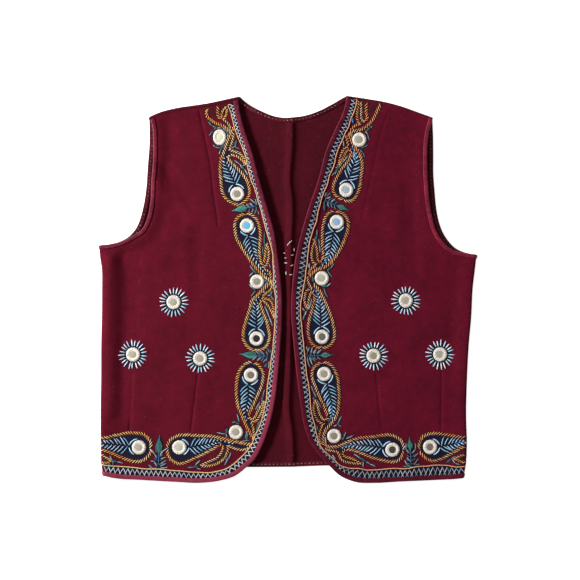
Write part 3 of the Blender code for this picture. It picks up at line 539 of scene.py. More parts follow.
            "leaf": (65.5, -212.5, 67.5, -217, 70, -221.5, 74.5, -224, 79.5, -225, 85, -226, 90, -226.5,
                94, -226.5),
            "back": (49.5, -207.5, 54.5, -209.5, 59, -210, 63.5, -211),
            "spine": (126, -206, 118.5, -205, 111.5, -204, 104.5, -203, 96.5, -202.5, 88.5, -202.5,
                79.5, -202.5, 69, -206),
        },
        "ninth": {
            "outer": (170.5, -205, 171.5, -199, 174, -193.5, 178, -190, 183, -188, 189, -187, 195.5, -187,
                202, -188, 208.5, -189, 215, -190, 221.5, -191, 228, -192, 234.5, -193.5),
            "inner": (172.5, -212.5, 176.5, -216.5, 181, -220.5, 186, -222.5, 192, -223, 198, -221,
                204, -218.5, 209.5, -215, 215.5, -212, 221.5, -208.5, 226.5, -205.5, 234.5, -201.5),
            "hook": (234.5, -214.5, 229, -215, 224, -216.5, 220, -218, 217, -220),
            "leaf": (234.5, -226, 229, -224.5, 224, -223, 220.5, -221.5, 217.5, -220.5),
            "spine": (196.5, -205, 203, -203, 209.5, -202, 216, -200.5, 222.5, -199.5, 229, -198,
                234.5, -197.5),
        },
    },
}

# The gold cord beside each front's binding, from the shoulder to the side: x and y in turn (mm)
GOLD_LINE = {
    "left": (-77.5, 242.5, -77, 238, -74, 231, -72, 223, -70, 215, -68.5, 208.5, -66, 202, -63.5, 195.5,
        -61, 190, -58, 182.5, -55.5, 176, -53.5, 169.5, -52.5, 162, -50.5, 154, -48.5, 146, -46, 138.5,
        -42.5, 130.5, -40.5, 123, -38.5, 115, -35.5, 107, -33.5, 99.5, -31.5, 91.5, -29.5, 84, -27.5, 76,
        -25, 68, -22.5, 60.5, -20.5, 52.5, -19, 45, -19, 37, -18.5, 28, -18, 19, -18.5, 10, -17.5, 0.5,
        -16, -7, -15.5, -15, -15.5, -24, -16, -33, -16.5, -42, -17, -50, -17.5, -59, -18.5, -68,
        -19, -77.5, -20.5, -85, -21.5, -93, -22.5, -102, -24, -111, -25.5, -120, -26.5, -128, -27, -136,
        -27.5, -143.5, -29.5, -151.5, -31, -159, -33, -167, -35.5, -175, -38, -181.5, -41.5, -188,
        -44.5, -195.5, -46.5, -201, -51, -207.5, -55.5, -213, -61, -218.5, -67.5, -224.5, -74, -229.5,
        -81.5, -233.5, -90.5, -236, -102.5, -238, -114, -237.5, -127, -237, -137.5, -236, -152, -235,
        -166, -233.5, -179, -233.5, -187, -233, -196, -232, -205, -231, -218, -230, -227, -229.5,
        -236.5, -228.5, -246.5, -226),
    "right": (89.5, 249, 89.5, 245, 88.5, 238.5, 87, 233.5, 85, 228, 82.5, 223, 80.5, 216.5, 78.5, 210,
        75.5, 205, 73, 199.5, 71, 194.5, 68.5, 189, 65.5, 182.5, 64, 177.5, 62, 171, 61, 164.5, 59.5, 160,
        57, 154, 54.5, 149, 53, 143.5, 51.5, 137, 49.5, 132, 47, 127, 45, 121.5, 43, 115, 41.5, 108.5,
        39.5, 102, 38.5, 97, 38, 91.5, 35.5, 84, 33, 77.5, 31, 71, 29, 64.5, 27.5, 58, 27, 51.5, 26, 45,
        25.5, 38.5, 25, 32, 23.5, 25.5, 23, 17.5, 22, 11, 20.5, 4.5, 19.5, -2, 18.5, -8.5, 17, -16,
        16.5, -24, 16.5, -32, 17, -39.5, 18, -46, 18.5, -54, 19.5, -62, 20.5, -69.5, 21, -77.5, 22, -85,
        22.5, -93, 23.5, -101, 24, -107, 25, -114, 26.5, -120, 27.5, -128, 28.5, -136, 29, -143.5,
        29.5, -150, 30, -156.5, 31.5, -163, 33, -169.5, 35, -176, 36, -182.5, 38, -190.5, 40, -198,
        44, -205.5, 48, -210, 52.5, -214, 57, -218, 61, -221.5, 64.5, -225.5, 69, -229, 74.5, -231,
        81, -232.5, 88.5, -232.5, 95, -233, 101.5, -234.5, 109.5, -234.5, 120, -234, 130.5, -233,
        139.5, -232.5, 148.5, -233, 157.5, -232.5, 164, -231, 172, -230, 182.5, -229.5, 190, -228.5,
        200.5, -228.5, 209.5, -229, 217.5, -230.5, 224, -230.5, 234.5, -229),
}

# Little strokes between the paisleys. Columns: start x, start y, end x, end y, width (mm)
SPRIGS = {
    ("left", "grey"): (
        (-103, 218, -98, 213, 2.0), (-98, 213, -92, 210, 1.7), (-96, 208, -92, 210, 1.4),
        (-92, 210, -86, 210, 1.4), (-98, 206, -102, 200, 1.4), (-84, 210, -80, 206, 1.4),
        (-80, 206, -76, 205, 1.3), (-78, 202, -78, 198, 1.3), (-97, 188, -94, 185, 1.7),
        (-94, 185, -88, 184, 1.7), (-86, 184, -88, 180, 1.6), (-88, 180, -89, 176, 1.4),
        (-68, 185, -62, 182, 1.4), (-72, 184, -68, 186, 1.3), (-69, 168, -62, 163, 1.6),
        (-62, 163, -59, 158, 1.6), (-56, 156, -52, 149, 1.6), (-58, 161, -54, 162, 1.6),
        (-54, 111, -50, 107, 1.4), (-50, 112, -44, 108, 1.6), (-49, 118, -42, 112, 1.6),
        (-42, 118, -40, 110, 1.6), (-47, 100, -44, 104, 1.4), (-43, 98, -40, 104, 1.4),
        (-37, 97, -39, 102, 1.4), (-30, 56, -26, 61, 1.6), (-32, 56, -32, 46, 1.3),
        (-24, 33, -22, 28, 1.6), (-49, 31, -44, 24, 1.7), (-50, 17, -45, 22, 1.4), (-50, 7, -46, 2, 1.6),
        (-42, -2, -48, -9, 1.6), (-31, 17, -26, 11, 1.4), (-30, 5, -26, 10, 1.4), (-20, -2, -22, -6, 1.4),
        (-26, -8, -22, -7, 1.4), (-22, -8, -18, -14, 1.4), (-30, -22, -24, -36, 1.6),
        (-24, -36, -20, -47, 1.6), (-43, -78, -38, -84, 1.4), (-36, -80, -33, -84, 1.4),
        (-34, -80, -30, -86, 1.4), (-28, -80, -26, -86, 1.4), (-26, -76, -24, -82, 1.4),
        (-46, -92, -40, -87, 1.4), (-40, -93, -34, -88, 1.4), (-32, -95, -28, -90, 1.4),
        (-24, -93, -25, -102, 1.4), (-30, -130, -32, -139, 1.6), (-34, -145, -29, -146, 1.4),
        (-36, -146, -42, -156, 1.6), (-36, -171, -39, -176, 1.6), (-66, -162, -63, -172, 1.6),
        (-72, -173, -68, -172, 1.6), (-92, -186, -81, -188, 1.7), (-80, -188, -79, -192, 1.4),
        (-54, -184, -52, -192, 1.7), (-62, -198, -50, -196, 1.7), (-74, -212, -77, -220, 1.6),
        (-77, -220, -82, -228, 1.6), (-114, -222, -120, -228, 1.7), (-130, -231, -122, -231, 1.6),
        (-118, -232, -113, -234, 1.6), (-178, -208, -173, -214, 1.6), (-173, -214, -170, -220, 1.6),
        (-178, -223, -173, -224, 1.7), (-173, -224, -170, -230, 1.6), (-181, -228, -176, -232, 1.4),
        (-181, -232, -170, -232, 1.4), (-156, -206, -162, -210, 1.7), (-162, -210, -166, -216, 1.6),
        (-165, -220, -158, -218, 1.4), (-165, -226, -158, -222, 1.4), (-166, -230, -158, -226, 1.6),
        (-165, -232, -156, -231, 1.4), (-231, -216, -228, -222, 1.6), (-222, -224, -214, -226, 1.6),
        (-228, -222, -227, -228, 1.6),
    ),
    ("left", "teal"): (
        (-96, 212, -92, 210, 2.1), (-80, 204, -76, 202, 2.1), (-88, 184, -82, 189, 2.3),
        (-66, 195, -68, 184, 2.6), (-60, 162, -56, 156, 2.6), (-30, 74, -30, 58, 2.2),
        (-46, 26, -40, 21, 2.6), (-46, 3, -42, -2, 2.6), (-30, 12, -26, 10, 3.4), (-22, -5, -21, -8, 2.9),
        (-22, -41, -20, -46, 2.3), (-22, -78, -22, -82, 2.6), (-30, -101, -26, -96, 2.9),
        (-32, -138, -34, -145, 2.6), (-38, -176, -40, -184, 2.2), (-68, -173, -62, -175, 2.6),
        (-79, -180, -80, -188, 2.6), (-55, -188, -53, -196, 3.9), (-123, -230, -116, -230, 3.0),
        (-228, -223, -222, -224, 2.5), (-234, -227, -230, -227, 2.3),
    ),
    ("left", "blue"): (
        (-80, -224, -78, -219, 1.3),
    ),
    ("right", "grey"): (
        (108, 211, 110, 212, 1.4), (101, 206, 104, 202, 1.6), (104, 202, 106, 194, 1.4),
        (100, 185, 104, 188, 1.6), (94, 182, 98, 178, 1.6), (98, 178, 100, 172, 1.6),
        (82, 204, 84, 197, 1.7), (72, 194, 73, 186, 2.0), (78, 174, 72, 166, 1.6),
        (72, 166, 66, 158, 1.6), (64, 154, 57, 148, 1.7), (62, 158, 66, 160, 1.4),
        (51, 126, 48, 121, 1.4), (56, 126, 51, 122, 1.4), (56, 121, 51, 118, 1.6),
        (62, 118, 56, 114, 1.6), (52, 114, 54, 106, 1.6), (56, 112, 58, 106, 1.4), (38, 78, 38, 70, 1.6),
        (32, 64, 36, 66, 1.4), (40, 66, 41, 58, 1.6), (41, 58, 42, 48, 1.4), (28, 34, 28, 28, 2.1),
        (60, 33, 56, 28, 1.7), (52, 24, 58, 16, 1.7), (34, 8, 35, 5, 1.4), (51, 4, 56, 8, 1.6),
        (47, 2, 52, -10, 1.8), (31, -12, 30, -18, 1.6), (30, -18, 27, -26, 1.6), (19, -24, 22, -28, 1.4),
        (24, -28, 22, -34, 1.6), (24, -74, 26, -80, 1.6), (28, -75, 26, -81, 1.6),
        (32, -75, 30, -82, 1.6), (37, -78, 33, -83, 1.7), (44, -78, 38, -83, 1.6),
        (25, -90, 29, -101, 1.6), (28, -88, 32, -98, 1.6), (32, -88, 36, -94, 1.6),
        (38, -88, 43, -91, 1.6), (30, -125, 33, -132, 1.6), (33, -132, 37, -140, 1.6),
        (38, -143, 44, -154, 1.7), (70, -165, 66, -173, 1.7), (64, -176, 60, -178, 1.6),
        (66, -176, 70, -179, 1.6), (76, -185, 73, -192, 1.7), (85, -190, 76, -194, 1.7),
        (49, -192, 50, -201, 2.0), (86, -214, 95, -220, 1.7), (102, -224, 107, -227, 1.8),
        (107, -227, 114, -230, 1.7), (98, -224, 98, -231, 1.6), (58, -215, 62, -220, 1.7),
        (154, -200, 154, -208, 1.4), (154, -208, 158, -212, 1.4), (166, -200, 166, -208, 1.4),
        (166, -208, 162, -213, 1.4), (149, -207, 153, -208, 1.4), (155, -218, 160, -224, 1.4),
        (170, -213, 164, -218, 1.6), (170, -220, 164, -228, 1.6), (152, -222, 155, -228, 1.6),
        (155, -228, 162, -231, 1.6), (150, -230, 156, -231, 1.4), (166, -228, 172, -227, 1.4),
        (213, -220, 218, -217, 1.7), (214, -221, 218, -226, 1.6), (218, -226, 224, -228, 1.7),
    ),
    ("right", "teal"): (
        (102, 206, 108, 211, 2.6), (95, 184, 100, 185, 2.6), (66, 158, 62, 154, 2.3),
        (48, 112, 48, 102, 2.9), (38, 70, 36, 64, 3.1), (56, 28, 51, 24, 2.9), (32, 18, 33, 9, 2.6),
        (44, 4, 52, 4, 2.9), (23, 8, 22, 0, 2.3), (24, -26, 27, -26, 2.9), (22, -33, 20, -39, 2.2),
        (32, -141, 36, -142, 2.9), (38, -176, 39, -184, 2.3), (66, -172, 65, -176, 3.1),
        (73, -192, 71, -196, 2.9), (95, -219, 102, -224, 2.6), (206, -225, 213, -220, 2.3),
        (35, -177, 36, -182, 1.3),
    ),
    ("right", "blue"): (
        (84, 224, 85, 216, 2.6),
    ),
}

# Large sprigs with a filled leaf. Columns: root x, root y, leaf tip x, leaf tip y (mm)
SPRIG_LEAVES = {
    "left": ((-37.4, 109.2, -73.1, 102.0), (-22.4, -87.8, -63.4, -83.9), (-168.0, -231.4, -166.7, -189.2)),
    "right": ((44.5, 117.0, 80.3, 102.7), (21.1, -86.5, 60.1, -85.2), (160.9, -230.8, 158.3, -191.8)),
}

SIDES = {"left": -1, "right": 1}

# Grounds set into the cloth: how deep they reach, and their kinds
GROUND_DEPTH = 0.3 * MM
GROUNDS = ("navy", "purple", "black", "rust")

# The rope round a paisley: its bands' widths, the pitch and width of a dash in wide and narrow
# bands (mm), and how full and how bright it is on each front
ROPE_BANDS = {"outer": 4.1, "inner": 3.9, "leaf": 3.2, "hook": 3.0, "back": 3.0}
WIDE_BAND = 3.5
WIDE_ROPE, NARROW_ROPE = (3.5, 0.86), (3.2, 0.80)
ROPE_FULLNESS = {"left": 1.08, "right": 0.98}
ROPE_TONE = {"left": 0.68, "right": 0.60}
ROPE_LEAN = math.tan(math.radians(46))

# The pairs of veins inside a paisley
CLEAR_OF_ROPE = 2.7 * MM
VEIN_SPACING = 4.9 * MM
VEIN_START = 13.4 * MM
FIRST_SPINE_POINT = 14.2 * MM
LONGEST_VEIN = 13.0 * MM
SHORTEST_VEIN = 1.4 * MM

# Mirrors and the rings that hold them (radii and heights in mm)
GLASS_RADIUS = 5.2
GLASS_LEVEL = 0.82
RING_STITCHES = 44
RING_RADII = (5.7, 7.0, 8.3)
RING_HEIGHTS = (0.75, 0.95, 1.1, 0.95, 0.25)
RING_EDGE = 9.35
OVAL_MIRROR = ("left", 0)
OVAL = (0.93, 1.12)

# Medallions
MEDALLION_RAYS = 21
MEDALLION_DISC = 14.6 * MM
RAY_START = 10.9 * MM
RAY_END = 18.8  # mm, before its unevenness

# The gold cord, and the lattice between it and the binding
CORD_WIDTH = 1.25 * MM
CORD_HEIGHT = 0.75 * MM
CORD_PITCH = 3.4 * MM
CORD_STEP = 0.62 * MM
CORD_POINTS = 60
CORD_KNOTS = 40
LATTICE_STEP = 0.5 * MM
LATTICE_CROSS = {"left": 0.66, "right": 0.80}
LATTICE_TONE = {"left": 0.72, "right": 0.30}

# How full the leaf at a sprig's tip is
LEAF_FULLNESS = {"left": 1.35, "right": 1.0}

# One thread's twist, and how sharp an edge of a piece has to be to be drawn sharp
PLY = 0.85 * MM
SHARP_EDGE = math.radians(50)

# Seeds of the handwork's unevenness
SEEDS = {"left": 11, "right": 23, "back": 5}

# The lattice's pitch. Rows: how far below the middle, and the pitch there (mm)
LATTICE_PITCH = ((-227, -181, -90, 14, 209), (4.8, 5.7, 6.1, 6.6, 6.1))

# Lamps. Columns: name, place, size (m), power (W)
LAMPS = (
    ("key", (-1.86, 0.62, 0.90), 0.42, 108.0),
    ("fill", (1.3, -0.4, 1.8), 1.5, 7.0),
)
CAMERA_PLACE = (0.0029, -0.00065, 2.005)
LENS = 95.49
SKY_STRENGTH = 0.22
FLOOR_GLOW = 0.72
FLOOR_HALF = 3.0
FLOOR_LEVEL = -0.3 * MM


# Smooth lines


def slopes_of(t, values):
    """The slope of a smooth line through the values, at each of them."""
    steps = np.diff(t)
    secants = np.diff(values) / steps
    inner = (secants[:-1] * steps[1:] + secants[1:] * steps[:-1]) / (steps[:-1] + steps[1:])
    return np.concatenate([secants[:1], inner, secants[-1:]])


def smooth_at(t, values, wanted):
    """Values of the smooth line at the wanted places, straight on past its ends."""
    order = np.argsort(t)
    t = np.asarray(t, float)[order]
    values = np.asarray(values, float)[order]
    slopes = slopes_of(t, values)
    wanted = np.asarray(wanted, float)
    inside = np.clip(wanted, t[0], t[-1])
    at = np.clip(np.searchsorted(t, inside) - 1, 0, len(t) - 2)
    width = t[at + 1] - t[at]
    u = (inside - t[at]) / width
    start_part = (1 + 2 * u) * (1 - u) ** 2 * values[at] + u * (1 - u) ** 2 * width * slopes[at]
    end_part = u**2 * (3 - 2 * u) * values[at + 1] + u**2 * (u - 1) * width * slopes[at + 1]
    before = np.minimum(wanted - t[0], 0) * slopes[0]
    after = np.maximum(wanted - t[-1], 0) * slopes[-1]
    return start_part + end_part + before + after


def lengths_along(line):
    """The length of each step of a line, and how far along the line each of its points lies."""
    steps = np.linalg.norm(np.diff(line, axis=0), axis=1)
    return steps, np.concatenate([[0], np.cumsum(steps)])


def points_at(line, along, wanted):
    return np.stack([np.interp(wanted, along, line[:, axis]) for axis in (0, 1)], axis=1)


def smooth_line(points):
    """A dense row of points along the smooth line through a few points."""
    points = np.asarray(points, float)
    t = lengths_along(points)[1]
    wanted = np.linspace(0, t[-1], max(2, int(t[-1] / LINE_STEP)))
    return np.stack([smooth_at(t, points[:, 0], wanted), smooth_at(t, points[:, 1], wanted)], axis=1)


def tangents_along(line):
    tangents = np.gradient(line, axis=0)
    return tangents / np.linalg.norm(tangents, axis=1)[:, None]


def to_left(directions):
    return np.stack([-directions[..., 1], directions[..., 0]], axis=-1)


def rays_at(turns):
    """Unit directions at some angles."""
    return np.stack([np.cos(turns), np.sin(turns)], axis=1)


def resampled(line, step):
    """A line's points at about equal steps, and its unit tangents there."""
    along = lengths_along(line)[1]
    wanted = np.linspace(0, along[-1], max(2, round(along[-1] / step) + 1))
    points = points_at(line, along, wanted)
    return points, tangents_along(points)


def distance_to(line, x, y):
    """The distance from each place to a line, worked out a few thousand places at a time."""
    places = np.stack([np.ravel(x), np.ravel(y)], axis=1)
    starts = line[:-1]
    runs = line[1:] - starts
    squares = np.maximum((runs**2).sum(1), 1e-18)
    found = np.empty(len(places))
    for first in range(0, len(places), 3000):
        away = places[first : first + 3000, None] - starts
        share = np.clip((away * runs).sum(2) / squares, 0, 1)
        away -= share[:, :, None] * runs
        found[first : first + 3000] = (away**2).sum(2).min(1)
    return np.sqrt(found).reshape(np.shape(x))


def smoothstep(value):
    value = np.clip(value, 0, 1)
    return value * value * (3 - 2 * value)


def falloff(distance, reach):
    return np.exp(-((distance / reach) ** 2))


# The cut: fold lines, seams and edges


def by_side(table, t, x):
    """A table's left or right column at t, as x is left or right of the middle."""
    columns = np.array(table, float).T * MM
    left = smooth_at(columns[0], columns[1], t)
    right = smooth_at(columns[0], columns[2], t)
    return np.where(np.asarray(x) < 0, left, right)


def side_fold_start(x, y):
    """How far from the middle the cloth starts to turn round the side fold."""
    return by_side(SIDE_FOLD, y, x) - FOLD_RADIUS - HALF_CLOTH


def shoulder_fold_start(x):
    return by_side(SHOULDER_FOLD, np.abs(x), x) - FOLD_RADIUS - HALF_CLOTH


def past_folds(x, y):
    """How far a place of the cut lies past the side fold's start and past the shoulder fold's."""
    past_side = np.abs(x) - side_fold_start(x, y)
    past_shoulder = y - shoulder_fold_start(x)
    return past_side, past_shoulder


def centre_seam_x(y):
    columns = np.array(CENTRE_SEAM, float).T * MM
    return smooth_at(columns[0], columns[1], y)


def edge_line(side, rows):
    """A smooth line on one side of the vest through (distance from the middle, y) rows in mm."""
    points = np.array(rows, float) * MM
    points[:, 0] *= SIDES[side]
    return smooth_line(points)


def front_edge_line(side):
    """The finished front edge and hem of one front, from above the shoulder to past the side."""
    column = 1 if side == "left" else 2
    down = [(row[column], row[0]) for row in FRONT_EDGE]
    across = [(row[0], row[column]) for row in FRONT_HEM]
    return edge_line(side, down + across)


def armhole_line(side, table):
    first = 0 if side == "left" else 2
    return edge_line(side, [row[first : first + 2] for row in table])


def back_neck_line():
    return smooth_line(np.array(BACK_NECK, float) * MM)


def back_hem_line():
    """The finished back hem from the left side to the right one."""
    left = [(-row[0], row[1]) for row in reversed(BACK_HEM)]
    right = [(row[0], row[2]) for row in BACK_HEM[1:]]
    return smooth_line(np.array(left + right, float) * MM)


FRONT_EDGES = {side: front_edge_line(side) for side in SIDES}
FRONT_ARMHOLES = {side: armhole_line(side, FRONT_ARMHOLE) for side in SIDES}
BACK_ARMHOLES = {side: armhole_line(side, BACK_ARMHOLE) for side in SIDES}


def front_reach(side):
    """How far a front's cloth reaches past the start of the side and of the shoulder fold."""
    return HALF_TURN - SIDE_WRAP - GAP, HALF_TURN - SHOULDER_WRAP[side] - GAP


def on_front(side, points, margin=0.8 * MM):
    """Whether each point lies on a front, inside its seams by a margin."""
    past_side, past_shoulder = past_folds(*points.T)
    side_reach, shoulder_reach = front_reach(side)
    return (past_side < side_reach - margin) & (past_shoulder < shoulder_reach - margin)


def within_back(points):
    past_side, past_shoulder = past_folds(*points.T)
    wrap = np.where(points[:, 0] < 0, SHOULDER_WRAP["left"], SHOULDER_WRAP["right"])
    return (past_side < SIDE_WRAP) & (past_shoulder < wrap)


# Laying the cut on the surface


def table_points(row):
    """Points on the cut, in metres, from a table row of x and y in mm."""
    return np.array(row, float).reshape(-1, 2) * MM


def by_front(lines, x, y):
    """The distance to the left or to the right line, as x is left or right of the middle."""
    result = np.empty(x.shape)
    for side, sign in SIDES.items():
        here = (x < 0) if sign < 0 else (x >= 0)
        if here.any():
            result[here] = distance_to(lines[side], x[here], y[here])
    return result


def crease_height(table, x, y):
    total = np.zeros(np.shape(x))
    for start_x, start_y, end_x, end_y, reach, height in table:
        line = np.array([(start_x, start_y), (end_x, end_y)], float) * MM
        total += height * MM * falloff(distance_to(line, x, y), reach * MM)
    return total


def waves(table, x, y):
    total = np.zeros(np.shape(x))
    for wave_x, wave_y, phase, height in table:
        total += height * MM * np.sin((wave_x * x + wave_y * y) / MM + phase)
    return total


def resting_height(x, y):
    """Where the underside of a front would rest: on the back, over its hem, then lower past it."""
    above_hem = y - by_side(BACK_HEM, np.abs(x), x)
    rise = (OVER_HEM_HEIGHT - LAID_HEIGHT) * smoothstep((ONTO_HEM[0] - above_hem) / ONTO_HEM[1])
    drop = (OVER_HEM_HEIGHT - PAST_HEM_HEIGHT) * smoothstep((PAST_HEM[0] - above_hem) / PAST_HEM[1])
    return LAID_HEIGHT + rise - drop


def worked_out_height(x, y):
    """Height of a front's underside: its resting height, lifted at folds and edges, and creased."""
    past_side, past_shoulder = past_folds(x, y)
    resting = resting_height(x, y)
    fold_lift = FOLD_HEIGHT - resting
    from_edge = by_front(FRONT_EDGES, x, y)
    from_armhole = by_front(FRONT_ARMHOLES, x, y)
    below_shoulder = smoothstep(-past_shoulder / SHOULDER_FADE)
    lifts = (
        fold_lift * falloff(past_side, SIDE_REACH),
        fold_lift * falloff(past_shoulder, SHOULDER_REACH),
        (ARMHOLE_HEIGHT - resting) * falloff(from_armhole, ARMHOLE_REACH),
        by_side(EDGE_LIFT, y, x) * falloff(from_edge, EDGE_REACH) * below_shoulder,
    )
    lift = sum(np.maximum(each, 0) ** LIFT_SHARPNESS for each in lifts) ** (1 / LIFT_SHARPNESS)
    from_sewing = np.minimum(from_edge, from_armhole)
    flat_share = smoothstep(-np.maximum(past_side, past_shoulder) / SMOOTH_AT_FOLDS)
    uneven = waves(RIPPLES, x, y) + waves(PUCKERS, x, y) * falloff(from_sewing, PUCKER_REACH)
    creases = crease_height(CREASES, x, y)
    beside = np.where(x < 0, 1.0, RIGHT_ARMHOLE_SHARE) * flat_share
    rim = ARMHOLE_RIM * falloff(np.abs(from_armhole - RIM_PLACE), RIM_REACH)
    hollow = ARMHOLE_HOLLOW * falloff(np.abs(from_armhole - HOLLOW_PLACE), HOLLOW_REACH)
    return resting + lift + creases + uneven * flat_share + beside * (rim - hollow)


class HeightMap:
    """The heights of one front on a grid of its cut, read smoothly between the grid's points."""

    def __init__(self, sign):
        x = np.arange(0, MAP_REACH[0], MAP_STEP) * sign
        y = np.arange(-MAP_REACH[1], MAP_REACH[1], MAP_STEP)
        self.sign = sign
        self.heights = worked_out_height(*np.meshgrid(x + sign * 1e-9, y, indexing="ij"))

    def at(self, x, y):
        places = (np.abs(x) / MAP_STEP, (y + MAP_REACH[1]) / MAP_STEP)
        cells, weights = [], []
        for place, count in zip(places, self.heights.shape):
            cell = np.clip(np.floor(place), 1, count - 3).astype(int)
            t = place - cell
            cells.append(cell)
            weights.append((
                t * (t * (2 - t) - 1) / 2,
                (t * t * (3 * t - 5) + 2) / 2,
                t * (t * (4 - 3 * t) + 1) / 2,
                t * t * (t - 1) / 2,
            ))
        return sum(
            weights[0][i] * weights[1][j] * self.heights[cells[0] + i - 1, cells[1] + j - 1]
            for i in range(4) for j in range(4)
        )


HEIGHT_MAPS = {side: HeightMap(sign) for side, sign in SIDES.items()}


def front_height(x, y):
    x, y = np.asarray(x, float), np.asarray(y, float)
    mapped = np.where(x < 0, HEIGHT_MAPS["left"].at(x, y), HEIGHT_MAPS["right"].at(x, y))
    height = mapped + crease_height(FINE_CREASES, x, y)
    for depth, *dart in DARTS["left"] + DARTS["right"]:
        height = height - depth * MM * falloff(distance_to(table_points(dart), x, y), DART_REACH)
    return np.maximum(height, resting_height(x, y) - DEEPEST_CREASE)


def lay_front(x, y):
    """The middle of a front's cloth, laid: flat but for its lifts, and rolled down at the folds."""
    past_side, past_shoulder = past_folds(x, y)
    past_side = np.maximum(past_side, 0)
    past_shoulder = np.maximum(past_shoulder, 0)
    flat_x = x - np.sign(x) * past_side
    flat_y = y - past_shoulder
    top = front_height(flat_x, flat_y) + HALF_CLOTH
    side_turn = past_side / FOLD_RADIUS
    shoulder_turn = past_shoulder / FOLD_RADIUS
    laid_x = flat_x + np.sign(x) * FOLD_RADIUS * np.sin(side_turn)
    laid_y = flat_y + FOLD_RADIUS * np.sin(shoulder_turn)
    laid_z = MIDDLE_OF_FOLD + (top - MIDDLE_OF_FOLD) * np.cos(side_turn + shoulder_turn)
    return np.stack([laid_x, laid_y, laid_z], axis=-1)


def back_ridge(x, y):
    """How far the pressed seam lifts the back's cloth along its middle, falling away to the right."""
    beside = (x - centre_seam_x(y)) / MM
    reach = np.interp(y / MM, *RIDGE_REACH_RIGHT)
    right = np.clip(1 - np.maximum(beside, 0) / reach, 0, 1) ** 2
    return BACK_RIDGE * right * smoothstep(1 + np.minimum(beside, 0) / RIDGE_REACH_LEFT)


def lay_back(x, y):
    """The middle of the back's cloth, laid: ridged at its seam, and rolled up and over at the folds."""
    past_side, past_shoulder = past_folds(x, y)
    past_side = np.maximum(past_side, 0)
    past_shoulder = np.maximum(past_shoulder, 0)
    side_turn = np.minimum(past_side / FOLD_RADIUS, math.pi)
    shoulder_turn = np.minimum(past_shoulder / FOLD_RADIUS, math.pi)
    over = np.maximum(past_shoulder - HALF_TURN, 0)
    laid_x = x + np.sign(x) * (FOLD_RADIUS * np.sin(side_turn) - past_side)
    laid_y = y - past_shoulder + FOLD_RADIUS * np.sin(shoulder_turn) - over
    laid_z = HALF_CLOTH + FOLD_RADIUS * (1 - np.cos(side_turn + shoulder_turn)) + back_ridge(x, y)
    return np.stack([laid_x, laid_y, laid_z], axis=-1)


def cloth_normals(lay, points):
    """Unit normals of the laid cloth, away from the surface that it lies on."""
    x, y = points.T
    along_x = lay(x + NORMAL_STEP, y) - lay(x - NORMAL_STEP, y)
    along_y = lay(x, y + NORMAL_STEP) - lay(x, y - NORMAL_STEP)
    normals = np.cross(along_x, along_y)
    return normals / np.linalg.norm(normals, axis=1)[:, None]


def moved_out(lay, points, out):
    """Laid points moved out from the cloth's middle, square to the cloth."""
    return lay(*points.T) + cloth_normals(lay, points) * np.reshape(out, (-1, 1))


# Stations along edges and seams


def fold_places(reach):
    """The places past a fold's start where a row of triangles runs round it."""
    turns = np.arange(0, min(reach / FOLD_RADIUS, math.pi) - FOLD_STEP / 2, FOLD_STEP)
    places = list(turns * FOLD_RADIUS)
    return places + [HALF_TURN] if reach > HALF_TURN else places


def past_either_fold(points):
    past_side, past_shoulder = past_folds(*points.T)
    return np.maximum(past_side, past_shoulder)


def stations_along(line, step):
    """Points of a dense line: its ends, its crossings of the fold rows, and others a step apart."""
    past = past_either_fold(line)
    lengths, along = lengths_along(line)
    breaks = [0, along[-1]]
    for place in fold_places(past.max()):
        for at in np.flatnonzero((past[:-1] - place) * (past[1:] - place) < 0):
            share = (place - past[at]) / (past[at + 1] - past[at])
            breaks.append(along[at] + share * lengths[at])
    closeness = 1 + CLOSER_NEAR_FOLDS * falloff(np.minimum(past, 0), CLOSER_REACH)
    measure = np.concatenate([[0], np.cumsum(lengths * (closeness[1:] + closeness[:-1]) / 2 / step)])
    wanted = []
    for start, end in zip(sorted(breaks)[:-1], sorted(breaks)[1:]):
        first, last = np.interp([start, end], along, measure)
        count = max(1, round(last - first))
        wanted += list(np.interp(np.linspace(first, last, count + 1)[:-1], measure, along))
    wanted.append(along[-1])
    return points_at(line, along, wanted)


def cut_line(line, within):
    """The stretch of a line inside a piece, with its two ends exactly on the seams."""
    inside = np.flatnonzero(within(line))
    first, last = inside[0], inside[-1]
    rows = list(line[first : last + 1])
    for end, outside in ((0, first - 1), (-1, last + 1)):
        if 0 <= outside < len(line):
            near, far = rows[end], line[outside]
            for _ in range(30):
                middle = (near + far) / 2
                if within(middle[None])[0]:
                    near = middle
                else:
                    far = middle
            rows.insert(0 if end == 0 else len(rows), near)
    return np.array(rows)


def shoulder_direction(point):
    """The direction of the shoulder fold's rows at a point."""
    ends = np.array([point[0] - MM, point[0] + MM])
    return np.array([2 * MM, np.diff(shoulder_fold_start(ends))[0]])


def side_direction(point):
    """The direction of the side fold's rows at a point."""
    ends = np.array([point[1] - MM, point[1] + MM])
    starts = side_fold_start(np.full(2, point[0]), ends)
    return np.array([np.sign(point[0]) * np.diff(starts)[0], 2 * MM])


